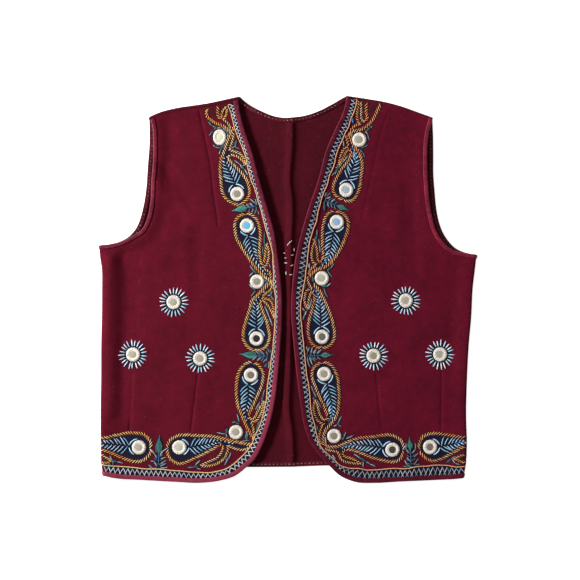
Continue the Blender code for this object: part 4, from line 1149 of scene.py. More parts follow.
class EdgeStrip:
    """The stations of one bound or turned edge, and the way into the cloth at each of them.

    At a fold the way into the cloth runs along the fold's rows, so that binding and cloth bend
    at the same places.
    """

    def __init__(self, finished, within, inward, width, step=STATION_STEP):
        line = finished + to_left(tangents_along(finished)) * inward * EDGE_INSET
        self.cloth = stations_along(cut_line(line, within), step)
        self.width = width
        self.past_side, self.past_shoulder = past_folds(*self.cloth.T)
        self.into = to_left(tangents_along(self.cloth)) * inward
        for at, point in enumerate(self.cloth):
            if max(self.past_side[at], self.past_shoulder[at]) > -0.6 * FOLD_RADIUS:
                by_side_fold = self.past_side[at] > self.past_shoulder[at]
                direction = side_direction(point) if by_side_fold else shoulder_direction(point)
                self.into[at] = direction / (direction @ self.into[at])
        self.stations = self.cloth.copy()
        for end, near in ((0, 1), (-1, -2)):
            step_in = self.cloth[near] - self.cloth[end]
            self.stations[end] += step_in * BINDING_END_GAP / np.linalg.norm(step_in)

    def row(self, width):
        """The strip's points at a distance into the cloth."""
        return self.stations + self.into * width

    def inner_row(self):
        """The cloth's own points under the strip's inner edge."""
        return self.cloth + self.into * self.width

    def at_fold(self, fold, place, sign):
        """Where the edge, and the strip's inner edge, cross a fold's row on one side of the vest."""
        past = self.past_side if fold == "side" else self.past_shoulder
        away = np.abs(past - place) + (self.cloth[:, 0] * sign < 0)
        at = int(np.argmin(away))
        return self.cloth[at], self.inner_row()[at]


def fold_row(fold, place, sign, from_strip, to_strip):
    """A row of the cut along a fold, so far past its start, from one edge to another."""
    start, inner_start = from_strip.at_fold(fold, place, sign)
    end, inner_end = to_strip.at_fold(fold, place, sign)
    axis = 1 if fold == "side" else 0
    count = max(2, round(abs(inner_end[axis] - inner_start[axis]) / SEAM_STEP) + 1)
    places = np.linspace(inner_start[axis], inner_end[axis], count)[1:-1]
    if fold == "side":
        x = sign * (side_fold_start(np.full(places.shape, sign), places) + place)
        between = np.stack([x, places], axis=1)
    else:
        between = np.stack([places, shoulder_fold_start(places) + place], axis=1)
    return np.vstack([start, inner_start, between, inner_end, end])


def folds_of(sign, upper, armhole, lower, side_reach, shoulder_reach):
    """The seams past a panel's shoulder fold and side fold, and the rows that run round both."""
    rows = [fold_row("side", place, sign, armhole, lower) for place in fold_places(side_reach)]
    rows += [fold_row("shoulder", place, sign, upper, armhole) for place in fold_places(shoulder_reach)]
    shoulder_seam = fold_row("shoulder", shoulder_reach, sign, upper, armhole)
    return shoulder_seam, fold_row("side", side_reach, sign, armhole, lower), rows


def front_strips(side):
    """The bound edges of one front: its front edge with the hem, and its armhole."""

    def within(points):
        return on_front(side, points, 0)

    sign = SIDES[side]
    edge = EdgeStrip(FRONT_EDGES[side], within, sign, FRONT_BINDING_WIDTH)
    armhole = EdgeStrip(FRONT_ARMHOLES[side], within, -sign, ARMHOLE_BINDING_WIDTH)
    return edge, armhole


def back_strips():
    """The turned edges of the back: neck, hem, and both armholes."""
    strips = {
        "neck": EdgeStrip(back_neck_line(), within_back, -1, TURNING_WIDTH),
        "hem": EdgeStrip(back_hem_line(), within_back, 1, TURNING_WIDTH, 2 * STATION_STEP),
    }
    for side, sign in SIDES.items():
        strips[side] = EdgeStrip(BACK_ARMHOLES[side], within_back, -sign, TURNING_WIDTH)
    return strips


def inside_outline(outline, points):
    """Which points lie inside a closed outline."""
    x, y = points[:, 0, None], points[:, 1, None]
    start, end = outline, np.roll(outline, -1, axis=0)
    crosses = (start[:, 1] > y) != (end[:, 1] > y)
    slope = (end[:, 0] - start[:, 0]) / np.where(end[:, 1] == start[:, 1], 1, end[:, 1] - start[:, 1])
    return (crosses & (x < start[:, 0] + (y - start[:, 1]) * slope)).sum(1) % 2 == 1


# Meshes


def new_piece(name, vertices, faces, finish):
    """A mesh piece with its faces pointing out, riding on the vest."""
    mesh = bpy.data.meshes.new(name)
    mesh.from_pydata([tuple(map(float, point)) for point in vertices], [], faces)
    shape = bmesh.new()
    shape.from_mesh(mesh)
    bmesh.ops.recalc_face_normals(shape, faces=shape.faces)
    shape.to_mesh(mesh)
    shape.free()
    mesh.shade_smooth()
    mesh.set_sharp_from_angle(angle=SHARP_EDGE)
    return dressed(bpy.data.objects.new(name, mesh), finish)


def dressed(item, finish):
    """A piece with its finish, riding on the vest."""
    if not item.users_collection:
        bpy.context.collection.objects.link(item)
    if finish is not None:
        item.data.materials.clear()
        item.data.materials.append(finish)
    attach(item, "root")
    return item


def filled(outline, rows, spacing, spots=()):
    """Triangles that fill an outline on the cut, keeping to rows, with a field of points between.

    Returns the points and the triangles, each turned the same way.
    """
    closed = np.vstack([outline, outline[:1]])
    low, high = outline.min(0), outline.max(0)
    up = spacing * math.sqrt(3) / 2
    lines = [
        (x + (number % 2) * spacing / 2, y)
        for number, y in enumerate(np.arange(low[1] + up / 2, high[1], up))
        for x in np.arange(low[0] + spacing / 4, high[0], spacing)
    ]
    field = np.array(lines) if lines else np.zeros((0, 2))
    if len(field):
        clear = inside_outline(outline, field)
        for line in [closed] + rows:
            clear &= distance_to(line, *field.T) > 0.45 * spacing
        field = field[clear]
    points = [outline]
    edges = [(i, (i + 1) % len(outline)) for i in range(len(outline))]
    count = len(outline)
    for row in rows:
        edges += [(count + i, count + i + 1) for i in range(len(row) - 1)]
        points.append(row)
        count += len(row)
    points = np.vstack(points + [field] + list(spots))
    flat = [Vector(point) for point in points / MM]
    result = delaunay_2d_cdt(flat, edges, [], 1, 1e-4)
    cut = np.array([tuple(vertex) for vertex in result[0]]) * MM
    triangles = [tuple(face) for face in result[2]]
    used = sorted({index for face in triangles for index in face})
    number = {index: place for place, index in enumerate(used)}
    return cut[used], [tuple(number[index] for index in face) for face in triangles]


def shell(cut, triangles, lay, top, bottom):
    """Vertices and faces of a closed shell over filled cloth, from one height out to another."""
    total = len(cut)
    vertices = np.vstack([
        moved_out(lay, cut, np.full(total, top)), moved_out(lay, cut, np.full(total, bottom)),
    ])
    faces = triangles + [tuple(total + index for index in reversed(face)) for face in triangles]
    sides = {(face[i], face[(i + 1) % 3]) for face in triangles for i in range(3)}
    faces += [
        (start, total + start, total + end, end)
        for start, end in sorted(sides) if (end, start) not in sides
    ]
    return vertices, faces


def triangles_area(cut, triangles):
    corners = cut[np.array(triangles)]
    one, two = corners[:, 1] - corners[:, 0], corners[:, 2] - corners[:, 0]
    return float(np.abs(one[:, 0] * two[:, 1] - one[:, 1] * two[:, 0]).sum() / 2)


def cloth_panel(name, outline, rows, spacing, lay, finish, node):
    """One cut panel of the vest, as a closed shell on its solid's form."""
    cut, triangles = filled(outline, rows, spacing)
    vertices, faces = shell(cut, triangles, lay, HALF_CLOTH, -HALF_CLOTH)
    panel = new_piece(name, vertices, faces, finish)
    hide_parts(node)
    triangles_area(cut, triangles)
    return panel


def faces_between(levels, sides, wraps=False, first=0):
    """Faces from each closed row of points to the next, and from the last to the first if it wraps."""
    faces = []
    for level in range(levels if wraps else levels - 1):
        low, high = first + level * sides, first + (level + 1) % levels * sides
        for step in range(sides):
            after = (step + 1) % sides
            faces.append((low + step, low + after, high + after, high + step))
    return faces


def swept(name, rings, finish):
    """A closed piece through rows of section corners."""
    count, sides = rings.shape[:2]
    faces = faces_between(count, sides)
    faces += [tuple(range(sides)), tuple(range((count - 1) * sides, count * sides))]
    return new_piece(name, rings.reshape(-1, 3), faces, finish)


def rounded(section):
    """A section with its corners cut once, and each of its sides kept."""
    corners = np.asarray(section, float)
    following = np.roll(corners, -1, axis=0)
    cut = np.stack([corners * 0.8 + following * 0.2, corners * 0.2 + following * 0.8], axis=1)
    return cut.reshape(-1, 2)


def strip_piece(name, strip, section, lay, finish, node):
    """A binding or turning: its rounded section swept along the edge, drawn in at the stitches."""
    corners = rounded(section(strip.width))
    along = np.arange(len(strip.stations))
    pucker = 0.05 * MM * np.sin(along * 2.1) + 0.04 * MM * np.sin(along * 0.83 + 1)
    rings = [
        moved_out(lay, strip.row(width), out + np.sign(out) * pucker * (abs(out) > HALF_CLOTH + 2 * GAP))
        for width, out in corners
    ]
    piece = swept(name, np.stack(rings, axis=1), finish)
    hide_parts(node)
    return piece


def binding_section(width):
    """A binding folded round an edge, crowned over the cloth, with a flatter leg under it."""
    near = HALF_CLOTH + GAP
    far = near + BINDING
    return (
        (width, near),
        (width, far - 0.35 * MM),
        (width * 0.86, far - 0.05 * MM),
        (width * 0.5, far),
        (width * 0.12, far),
        (-GAP, far - 0.1 * MM),
        (-EDGE_INSET, near),
        (-EDGE_INSET - BINDING_BULGE, 0),
        (-EDGE_INSET, -near),
        (-GAP, -far),
        (width, -far),
        (width, -near),
        (-GAP, -near),
        (-GAP, near),
    )


def turning_section(width):
    """A binding turned to the inside: a leg on the cloth's inside and a lip over its cut edge."""
    near = HALF_CLOTH + GAP
    far = near + BINDING
    lip = -HALF_CLOTH + GAP
    return (
        (width, near),
        (width, far - 0.3 * MM),
        (width * 0.8, far),
        (width * 0.2, far),
        (-GAP, far),
        (-EDGE_INSET, near),
        (-EDGE_INSET, lip),
        (-GAP, lip),
        (-GAP, near),
    )


# Finishes


class Value:
    """A shader socket that Python expressions are written on."""

    def __init__(self, finish, socket):
        self.finish = finish
        self.socket = socket

    def maths(self, operation, *values):
        return self.finish.node("Math", {"operation": operation}, dict(enumerate(values))).first()

    def __add__(self, other):
        return self.maths("ADD", self, other)

    def __radd__(self, other):
        return self.maths("ADD", other, self)

    def __sub__(self, other):
        return self.maths("SUBTRACT", self, other)

    def __rsub__(self, other):
        return self.maths("SUBTRACT", other, self)

    def __mul__(self, other):
        return self.maths("MULTIPLY", self, other)

    def __rmul__(self, other):
        return self.maths("MULTIPLY", other, self)

    def sine(self):
        return self.maths("SINE", self)

    def power(self, other):
        return self.maths("POWER", self, other)

    def between(self, low, high, to_low=0.0, to_high=1.0):
        """0 up to low, 1 from high on, and smooth between them."""
        settings = {"interpolation_type": "SMOOTHSTEP"}
        inputs = {0: self, 1: low, 2: high, 3: to_low, 4: to_high}
        return self.finish.node("MapRange", settings, inputs).first()


class Made:
    """A shader node, with its outputs as values."""

    def __init__(self, finish, node):
        self.finish = finish
        self.node = node

    def out(self, name):
        return Value(self.finish, self.node.outputs[name])

    def first(self):
        return next(Value(self.finish, socket) for socket in self.node.outputs if socket.enabled)


class Finish:
    """A material made of nodes, with the constants of its shader on their own sockets."""

    def __init__(self, name, **constants):
        self.material = bpy.data.materials.new(name)
        self.material.use_nodes = True
        self.tree = self.material.node_tree
        self.shader = self.tree.nodes["Principled BSDF"]
        for socket, value in constants.items():
            self.shader.inputs[socket.replace("_", " ")].default_value = value
        self.place = self.node("TexCoord").out("Object")

    def put(self, socket, value):
        if isinstance(value, Value):
            self.tree.links.new(value.socket, socket)
        else:
            socket.default_value = value

    def node(self, kind, settings=None, inputs=None):
        """Any node: its type, its settings, which are set first, and the values of its sockets."""
        node = self.tree.nodes.new("ShaderNode" + kind)
        for key, value in (settings or {}).items():
            if key == "stops":
                for number, (position, colour) in enumerate(value):
                    stops = node.color_ramp.elements
                    stop = stops[number] if number < 2 else stops.new(position)
                    stop.position, stop.color = position, colour
            else:
                setattr(node, key, value)
        for key, value in (inputs or {}).items():
            self.put(node.inputs[key], value)
        return Made(self, node)

    def noise(self, size, detail=2.0, rough=0.5, stretch=(1, 1, 1), turn=0.0, at=(0, 0, 0)):
        """Noise from 0 to 1 with marks of about that size in metres, stretched and turned."""
        mapped = self.node("Mapping", {"vector_type": "TEXTURE"}, {
            "Vector": self.place, "Location": at, "Rotation": (0, 0, turn),
            "Scale": tuple(size * each for each in stretch),
        }).out("Vector")
        return self.node("TexNoise", None, {
            "Vector": mapped, "Scale": 1.0, "Detail": detail, "Roughness": rough,
        }).out("Fac")

    def axis(self, turn, axis="X"):
        """How far a place lies along a direction turned by an angle, in metres."""
        mapped = self.node("Mapping", {"vector_type": "TEXTURE"}, {
            "Vector": self.place, "Rotation": (0, 0, turn),
        }).out("Vector")
        return self.node("SeparateXYZ", None, {0: mapped}).out(axis)

    def attribute(self, name):
        return self.node("Attribute", {"attribute_name": name}).out("Fac")

    def mix(self, share, first, second, blend="MIX"):
        """A colour between two colours."""
        settings = {"data_type": "RGBA", "blend_type": blend}
        made = self.node("Mix", settings)
        self.put(made.node.inputs["Factor"], share)
        colours = [socket for socket in made.node.inputs if socket.type == "RGBA"]
        self.put(colours[0], first)
        self.put(colours[1], second)
        return next(
            Value(self, socket) for socket in made.node.outputs if socket.type == "RGBA"
        )

    def ramp(self, value, *stops):
        return self.node("ValToRGB", {"stops": stops}, {"Fac": value}).out("Color")

    def bump(self, height, distance, strength=1.0):
        made = self.node("Bump", None, {
            "Height": height, "Distance": distance, "Strength": strength,
        })
        self.put(self.shader.inputs["Normal"], made.out("Normal"))

    def wear(self, **sockets):
        """Puts what varies on the shader, and returns the material."""
        for socket, value in sockets.items():
            self.put(self.shader.inputs[socket.replace("_", " ")], value)
        return self.material


def dye(red, green, blue):
    """A colour from its 0 to 255 values, as the shader takes it."""
    shares = [value / 255 for value in (red, green, blue)]
    return (*[s / 12.92 if s <= 0.04045 else ((s + 0.055) / 1.055) ** 2.4 for s in shares], 1.0)


def wool_finish(name, light, dark, lint):
    """Felted wool: a short nap brushed downwards, soft mottling, and a little pale lint."""
    wool = Finish(
        name, Roughness=0.92, Specular_IOR_Level=0.06, Sheen_Weight=0.10, Sheen_Roughness=0.45,
        Sheen_Tint=dye(190, 80, 100),
    )
    cloud = wool.noise(0.055, 3.0)
    mottle = wool.noise(0.009, 4.0, 0.6)
    nap = wool.noise(0.0011, 3.0, 0.65, stretch=(0.7, 1.8, 1), turn=0.25)
    fibre = wool.noise(0.00045, 2.0, 0.6, stretch=(0.6, 2.6, 1), turn=-0.5)
    share = (0.30 * cloud + 0.35 * mottle + 0.45 * nap + 0.30 * fibre).between(0.42, 1.0)
    specks = wool.noise(0.0021, 1.0, 0.5, at=(0.3, 0.1, 0)).between(0.735, 0.80)
    colour = wool.mix(specks * 0.22 * lint, wool.mix(share, dark, light), dye(176, 120, 128))
    wool.bump(0.55 * nap + 0.45 * fibre + 0.7 * mottle, 0.00045, 0.75)
    return wool.wear(Base_Color=colour, Roughness=0.84 + 0.14 * mottle)


def satin_finish(name, bright, deep, worn, low_painted_highlight=None):
    """Satin cut on the bias: fine slanted weave, small drag lines, and duller rubbed places.

    The last argument is a painted highlight: a lighter colour towards the hem, where it has one.
    """
    satin = Finish(
        name, Specular_IOR_Level=0.13, Sheen_Weight=0.02, Sheen_Roughness=0.35,
        Sheen_Tint=dye(230, 120, 150),
    )
    weave = (satin.axis(0.8) * 11000).sine() * 0.5 + 0.5
    drag = satin.noise(0.0035, 2.0, 0.5, stretch=(0.35, 1.6, 1), turn=0.9)
    cloud = satin.noise(0.03, 3.0)
    rub = satin.noise(0.012, 4.0, 0.65).between(0.5, 0.72)
    share = (0.55 * drag + 0.45 * cloud + 0.12 * weave).between(0.34, 0.78)
    colour = satin.mix(rub * 0.45, satin.mix(share, deep, bright), worn)
    # Painted highlight: the satin turns lighter towards the hem
    if low_painted_highlight:
        low = satin.axis(0.0, "Y").between(-0.13, -0.04, 1.0, 0.0)
        colour = satin.mix(low * (0.55 + 0.3 * drag), colour, low_painted_highlight)
    satin.bump(0.25 * weave + 0.9 * drag, 0.0005, 0.6)
    return satin.wear(Base_Color=colour, Roughness=0.36 + 0.22 * rub + 0.10 * drag)


def filled_finish(name, light, dark, turn, pitch=0.0011):
    """Cloth filled with close flat stitches that run one way."""
    ground = Finish(name, Specular_IOR_Level=0.14, Sheen_Weight=0.02)
    wander = ground.noise(0.006, 2.0)
    rows = ((ground.axis(turn) + wander * 0.0012) * (2 * math.pi / pitch)).sine() * 0.5 + 0.5
    grain = ground.noise(0.0016, 3.0, 0.6, stretch=(0.5, 2.2, 1), turn=turn)
    cloud = ground.noise(0.014, 3.0, 0.6)
    share = (0.40 * rows + 0.45 * grain + 0.45 * cloud).between(0.40, 0.95)
    ground.bump(0.6 * rows + 0.5 * grain, 0.0004, 0.8)
    return ground.wear(
        Base_Color=ground.mix(share, dark, light), Roughness=0.56 + 0.25 * grain,
    )


def thread_finish(name, stops, shine):
    """Twisted silk or cotton thread. stops give its dyes, from a stitch's tone of 0 to 1."""
    thread = Finish(name, Specular_IOR_Level=0.45, Sheen_Weight=0.2, Sheen_Roughness=0.4)
    tone = thread.attribute("tone")
    turn = thread.attribute("along") * (2 * math.pi / PLY)
    across = thread.attribute("ring_cosine")
    up = thread.attribute("ring_sine")
    twist = (turn.sine() * across + (turn + math.pi / 2).sine() * up) * 0.5 + 0.5
    fuzz = thread.noise(0.0006, 3.0, 0.6)
    cloud = thread.noise(0.012, 2.0)
    shade = (tone + 0.22 * (fuzz - 0.5) + 0.16 * (cloud - 0.5))
    colour = thread.ramp(shade, *stops)
    # Painted shade: every thread darkens in the grooves of its twist
    colour = thread.mix(0.20 * (1 - twist), colour, dye(20, 8, 10))
    thread.bump(twist * 0.8 + fuzz * 0.4, 0.00022, 0.8)
    return thread.wear(Base_Color=colour, Roughness=shine + 0.22 * fuzz)


def glass_finish(name):
    """Small hand-cut mirrors: slightly wavy, specked backing, and a painted reflection on each glass, set
    by its tone.
    """
    glass = Finish(name, Specular_IOR_Level=0.6, Coat_Weight=0.3, Coat_Roughness=0.08)
    tone = glass.attribute("tone")
    # Painted reflections: by its tone, each glass gets the colour of what a mirror would reflect, from
    # dark grey through beige to sky blue and white
    painted_reflection = glass.ramp(
        tone,
        (0.0, dye(28, 32, 36)), (0.2, dye(108, 110, 104)), (0.35, dye(130, 120, 110)),
        (0.5, dye(162, 156, 134)), (0.65, dye(188, 183, 164)), (0.75, dye(212, 205, 182)),
        (0.85, dye(160, 188, 230)), (0.95, dye(104, 202, 244)), (1.0, dye(240, 243, 204)),
    )
    specks = glass.noise(0.0009, 3.0, 0.7).between(0.60, 0.72)
    cloud = glass.noise(0.004, 3.0, 0.6)
    colour = glass.mix(0.5 * specks, painted_reflection, dye(70, 62, 56))
    colour = glass.mix(0.18 * cloud, colour, dye(120, 112, 104))
    glass.bump(cloud + 0.3 * specks, 0.0002, 0.5)
    return glass.wear(
        Base_Color=colour, Metallic=0.35 - 0.3 * specks, Roughness=0.14 + 0.3 * specks,
    )


# Dyes of the threads. Columns: finish, its name, shine, then the share, red, green and blue of each stop
THREAD_DYES = (
    ("gold_left", "gold_thread_left", 0.42, (0.0, 200, 84, 32), (0.25, 248, 138, 58), (0.5, 255, 178, 86),
     (0.75, 255, 204, 124), (1.0, 255, 232, 186)),
    ("gold_right", "gold_thread_right", 0.42, (0.0, 188, 78, 38), (0.25, 240, 132, 72),
     (0.5, 255, 172, 104), (0.75, 255, 200, 142), (1.0, 255, 230, 196)),
    ("cord_left", "pale_gold_cord", 0.42, (0.0, 186, 132, 76), (0.5, 234, 194, 128), (1.0, 252, 230, 184)),
    ("cord_right", "peach_cord", 0.42, (0.0, 190, 110, 76), (0.5, 234, 164, 116), (1.0, 246, 204, 162)),
    ("pale_blue", "pale_blue_thread", 0.5, (0.0, 76, 128, 172), (0.35, 122, 190, 216),
     (0.7, 188, 214, 238), (1.0, 244, 246, 250)),
    ("ivory", "ivory_thread", 0.5, (0.0, 190, 178, 162), (0.4, 218, 208, 196), (1.0, 240, 232, 224)),
    ("lilac", "lilac_thread", 0.5, (0.0, 112, 122, 144), (0.5, 186, 192, 212), (1.0, 240, 238, 248)),
    ("grey", "grey_thread", 0.5, (0.0, 60, 86, 92), (0.5, 128, 152, 156), (1.0, 186, 204, 206)),
    ("teal", "teal_thread", 0.45, (0.0, 4, 46, 50), (0.5, 14, 90, 84), (1.0, 54, 140, 122)),
    ("blue", "blue_thread", 0.45, (0.0, 26, 74, 128), (0.5, 58, 130, 186), (1.0, 130, 186, 222)),
    ("pink", "pink_thread", 0.5, (0.0, 120, 44, 60), (0.5, 176, 104, 116), (1.0, 222, 180, 180)),
)


def make_finishes():
    """Every finish of the vest, by name."""
    finishes = {
        "wool_left": wool_finish("maroon_wool_left", dye(99, 15, 34), dye(64, 7, 21), 1.0),
        "wool_right": wool_finish("maroon_wool_right", dye(103, 15, 38), dye(62, 6, 21), 0.8),
        # The back's wool is a darker copy of the fronts' wool: painted shade for where the fronts shade it
        "shaded_wool_back": wool_finish("maroon_wool_back", dye(80, 13, 27), dye(48, 6, 15), 1.2),
        # One binding satin in two copies: the left front's is dyed lighter and pinker as painted light,
        # the right front's darker as painted shade
        "satin_left": satin_finish(
            "satin_left", dye(118, 38, 58), dye(72, 16, 32), dye(118, 50, 68), dye(138, 50, 72),
        ),
        "satin_right": satin_finish("satin_right", dye(100, 13, 38), dye(54, 4, 18), dye(86, 20, 38)),
        "satin_armhole_left": satin_finish(
            "satin_armhole_left", dye(116, 28, 50), dye(70, 12, 28), dye(118, 44, 62),
        ),
        # The right armhole's satin is dyed brighter than the left's: painted light on an edge that falls
        # away from the lamp
        "satin_armhole_right": satin_finish(
            "satin_armhole_right", dye(142, 36, 60), dye(86, 12, 32), dye(130, 46, 66),
        ),
        "satin_inside": satin_finish("satin_inside", dye(88, 16, 30), dye(46, 6, 15), dye(78, 24, 34)),
        "navy": filled_finish("navy_filling", dye(18, 18, 50), dye(12, 6, 20), 0.9),
        "purple": filled_finish("purple_filling", dye(56, 16, 20), dye(26, 8, 12), -0.6),
        "black": filled_finish("black_filling", dye(24, 17, 30), dye(6, 4, 10), 0.4),
        "rust": filled_finish("rust_filling", dye(68, 17, 13), dye(32, 8, 8), 0.2),
    }
    for key, name, shine, *stops in THREAD_DYES:
        finishes[key] = thread_finish(name, [(share, dye(*colour)) for share, *colour in stops], shine)
    finishes["glass"] = glass_finish("mirror_glass")
    return finishes


# Threads


class NodeTree:
    """A Geometry Nodes tree while it is being built."""

    def __init__(self, name, inputs):
        self.tree = bpy.data.node_groups.new(name, "GeometryNodeTree")
        sockets = self.tree.interface
        sockets.new_socket("Geometry", in_out="INPUT", socket_type="NodeSocketGeometry")
        sockets.new_socket("Geometry", in_out="OUTPUT", socket_type="NodeSocketGeometry")
        self.identifiers = {}
        for label, kind in inputs.items():
            made = sockets.new_socket(label, in_out="INPUT", socket_type="NodeSocket" + kind)
            self.identifiers[label] = made.identifier
        self.given = self.tree.nodes.new("NodeGroupInput").outputs

    def node(self, kind, settings=None, inputs=None):
        """Any node: its type, its settings, which are set first, and what its sockets get."""
        node = self.tree.nodes.new(kind)
        for key, value in (settings or {}).items():
            setattr(node, key, value)
        for key, value in (inputs or {}).items():
            if isinstance(value, bpy.types.NodeSocket):
                self.tree.links.new(value, node.inputs[key])
            else:
                node.inputs[key].default_value = value
        return node.outputs

    def maths(self, operation, *values):
        return self.node("ShaderNodeMath", {"operation": operation}, dict(enumerate(values)))[0]

    def attribute(self, name, kind="FLOAT"):
        return self.node(
            "GeometryNodeInputNamedAttribute", {"data_type": kind}, {"Name": name},
        )["Attribute"]

    def kept(self, geometry, name, value):
        """The geometry, with a value kept on its points under a name."""
        settings = {"data_type": "FLOAT", "domain": "POINT"}
        inputs = {"Geometry": geometry, "Name": name, "Value": value}
        return self.node("GeometryNodeStoreNamedAttribute", settings, inputs)[0]


def make_thread_tree():
    """A thread swept along every line: arched by its lift, flattened, and thinner at its ends."""
    tree = NodeTree("laid_thread", {
        "Sides": "Int", "Flatness": "Float", "End Width": "Float", "Finish": "Material",
    })
    given = tree.given
    lines = tree.node("GeometryNodeMeshToCurve", None, {"Mesh": given["Geometry"]})[0]
    spline = tree.node("GeometryNodeSplineParameter")
    lines = tree.kept(lines, "along", spline["Length"])
    factor = spline["Factor"]
    rest = tree.maths("SUBTRACT", 1.0, factor)
    hump = tree.maths("MULTIPLY", tree.maths("MULTIPLY", factor, rest), 4.0)
    outwards = tree.attribute("out", "FLOAT_VECTOR")
    raised = tree.node("ShaderNodeVectorMath", {"operation": "SCALE"}, {
        0: outwards, "Scale": tree.maths("MULTIPLY", tree.attribute("lift"), hump),
    })[0]
    lines = tree.node("GeometryNodeSetPosition", None, {"Geometry": lines, "Offset": raised})[0]
    lines = tree.node("GeometryNodeSetCurveNormal", {"mode": "FREE"}, {
        "Curve": lines, "Normal": outwards,
    })[0]
    section = tree.node("GeometryNodeCurvePrimitiveCircle", None, {
        "Resolution": given["Sides"], "Radius": 0.5,
    })["Curve"]
    angle = tree.maths("MULTIPLY", tree.node("GeometryNodeSplineParameter")["Factor"], 2 * math.pi)
    section = tree.kept(section, "ring_cosine", tree.maths("COSINE", angle))
    section = tree.kept(section, "ring_sine", tree.maths("SINE", angle))
    flat = tree.node("ShaderNodeCombineXYZ", None, {0: given["Flatness"], 1: 1.0, 2: 1.0})[0]
    section = tree.node("GeometryNodeTransform", None, {"Geometry": section, "Scale": flat})[0]
    fullness = tree.maths("POWER", hump, 0.35)
    part = tree.maths("MULTIPLY", tree.maths("SUBTRACT", 1.0, given["End Width"]), fullness)
    width = tree.maths(
        "MULTIPLY", tree.attribute("width"), tree.maths("ADD", given["End Width"], part),
    )
    threads = tree.node("GeometryNodeCurveToMesh", None, {
        "Curve": lines, "Profile Curve": section, "Scale": width, "Fill Caps": True,
    })[0]
    threads = tree.node("GeometryNodeRealizeInstances", None, {"Geometry": threads})[0]
    threads = tree.node("GeometryNodeSetMaterial", None, {
        "Geometry": threads, "Material": given["Finish"],
    })[0]
    tree.node("NodeGroupOutput", None, {"Geometry": threads})
    return tree


class Stitches:
    """Stitches of one thread, drawn on the cut and laid together as one piece."""

    def __init__(self, name, lay, finish, slot, sides=6, flatness=0.7, end_width=0.45):
        self.name, self.lay, self.finish, self.slot = name, lay, finish, slot
        self.sides, self.flatness, self.end_width = sides, flatness, end_width
        self.rows = []

    def add(self, points, width, tone=0.5, lift=0.0, out=0.0, parts=4):
        """One stitch through a few points of the cut, in metres. out is its height on the cloth."""
        points = np.asarray(points, float)
        out = np.broadcast_to(np.asarray(out, float), (len(points),))
        t = lengths_along(points)[1]
        if parts:
            wanted = np.linspace(0, t[-1], parts + 1)
            points = points_at(points, t, wanted)
            out = np.interp(wanted, t, out)
        self.rows.append((points, out, width, tone, lift))

    def piece(self, tree):
        """The finished piece: every stitch laid on the cloth, and its thread swept."""
        counts = [len(row[0]) for row in self.rows]
        cut = np.vstack([row[0] for row in self.rows])
        out = np.concatenate([row[1] for row in self.rows]) + HALF_CLOTH
        normals = cloth_normals(self.lay, cut)
        laid = self.lay(*cut.T) + normals * out[:, None]
        mesh = bpy.data.meshes.new(self.name)
        ends = np.cumsum(counts)
        edges = [(i, i + 1) for start, end in zip(ends - counts, ends) for i in range(start, end - 1)]
        mesh.from_pydata([tuple(map(float, point)) for point in laid], edges, [])
        for label, column in (("width", 2), ("tone", 3), ("lift", 4)):
            values = np.repeat([row[column] for row in self.rows], counts)
            mesh.attributes.new(label, "FLOAT", "POINT").data.foreach_set("value", values)
        outwards = mesh.attributes.new("out", "FLOAT_VECTOR", "POINT")
        outwards.data.foreach_set("vector", normals.ravel())
        item = bpy.data.objects.new(self.name, mesh)
        bpy.context.collection.objects.link(item)
        modifier = item.modifiers.new("thread", "NODES")
        modifier.node_group = tree.tree
        for label, value in (
            ("Sides", self.sides), ("Flatness", self.flatness), ("End Width", self.end_width),
            ("Finish", self.finish),
        ):
            modifier[tree.identifiers[label]] = value
        evaluated = item.evaluated_get(bpy.context.evaluated_depsgraph_get())
        swept_mesh = bpy.data.meshes.new_from_object(evaluated)
        item.modifiers.clear()
        item.data = swept_mesh
        swept_mesh.name = self.name
        swept_mesh.shade_smooth()
        for label in ("out", "width", "lift"):
            if label in swept_mesh.attributes:
                swept_mesh.attributes.remove(swept_mesh.attributes[label])
        return dressed(item, self.finish)


# Embroidery


def kept_on_front(side, points, margin=0.7 * MM):
    """Points of the cut drawn back to a front's seams where they lie past them."""
    points = np.array(points, float)
    side_reach, shoulder_reach = front_reach(side)
    for _ in range(3):
        past_side, past_shoulder = past_folds(*points.T)
        points[:, 0] -= SIDES[side] * np.maximum(past_side - side_reach + margin, 0)
        points[:, 1] -= np.maximum(past_shoulder - shoulder_reach + margin, 0)
    return points


def tidy_outline(points, least=0.6 * MM):
    """A closed outline without points that nearly meet."""
    kept = [points[0]]
    for point in points[1:]:
        if np.linalg.norm(point - kept[-1]) > least:
            kept.append(point)
    while len(kept) > 3 and np.linalg.norm(kept[-1] - kept[0]) < least:
        kept.pop()
    return np.array(kept)


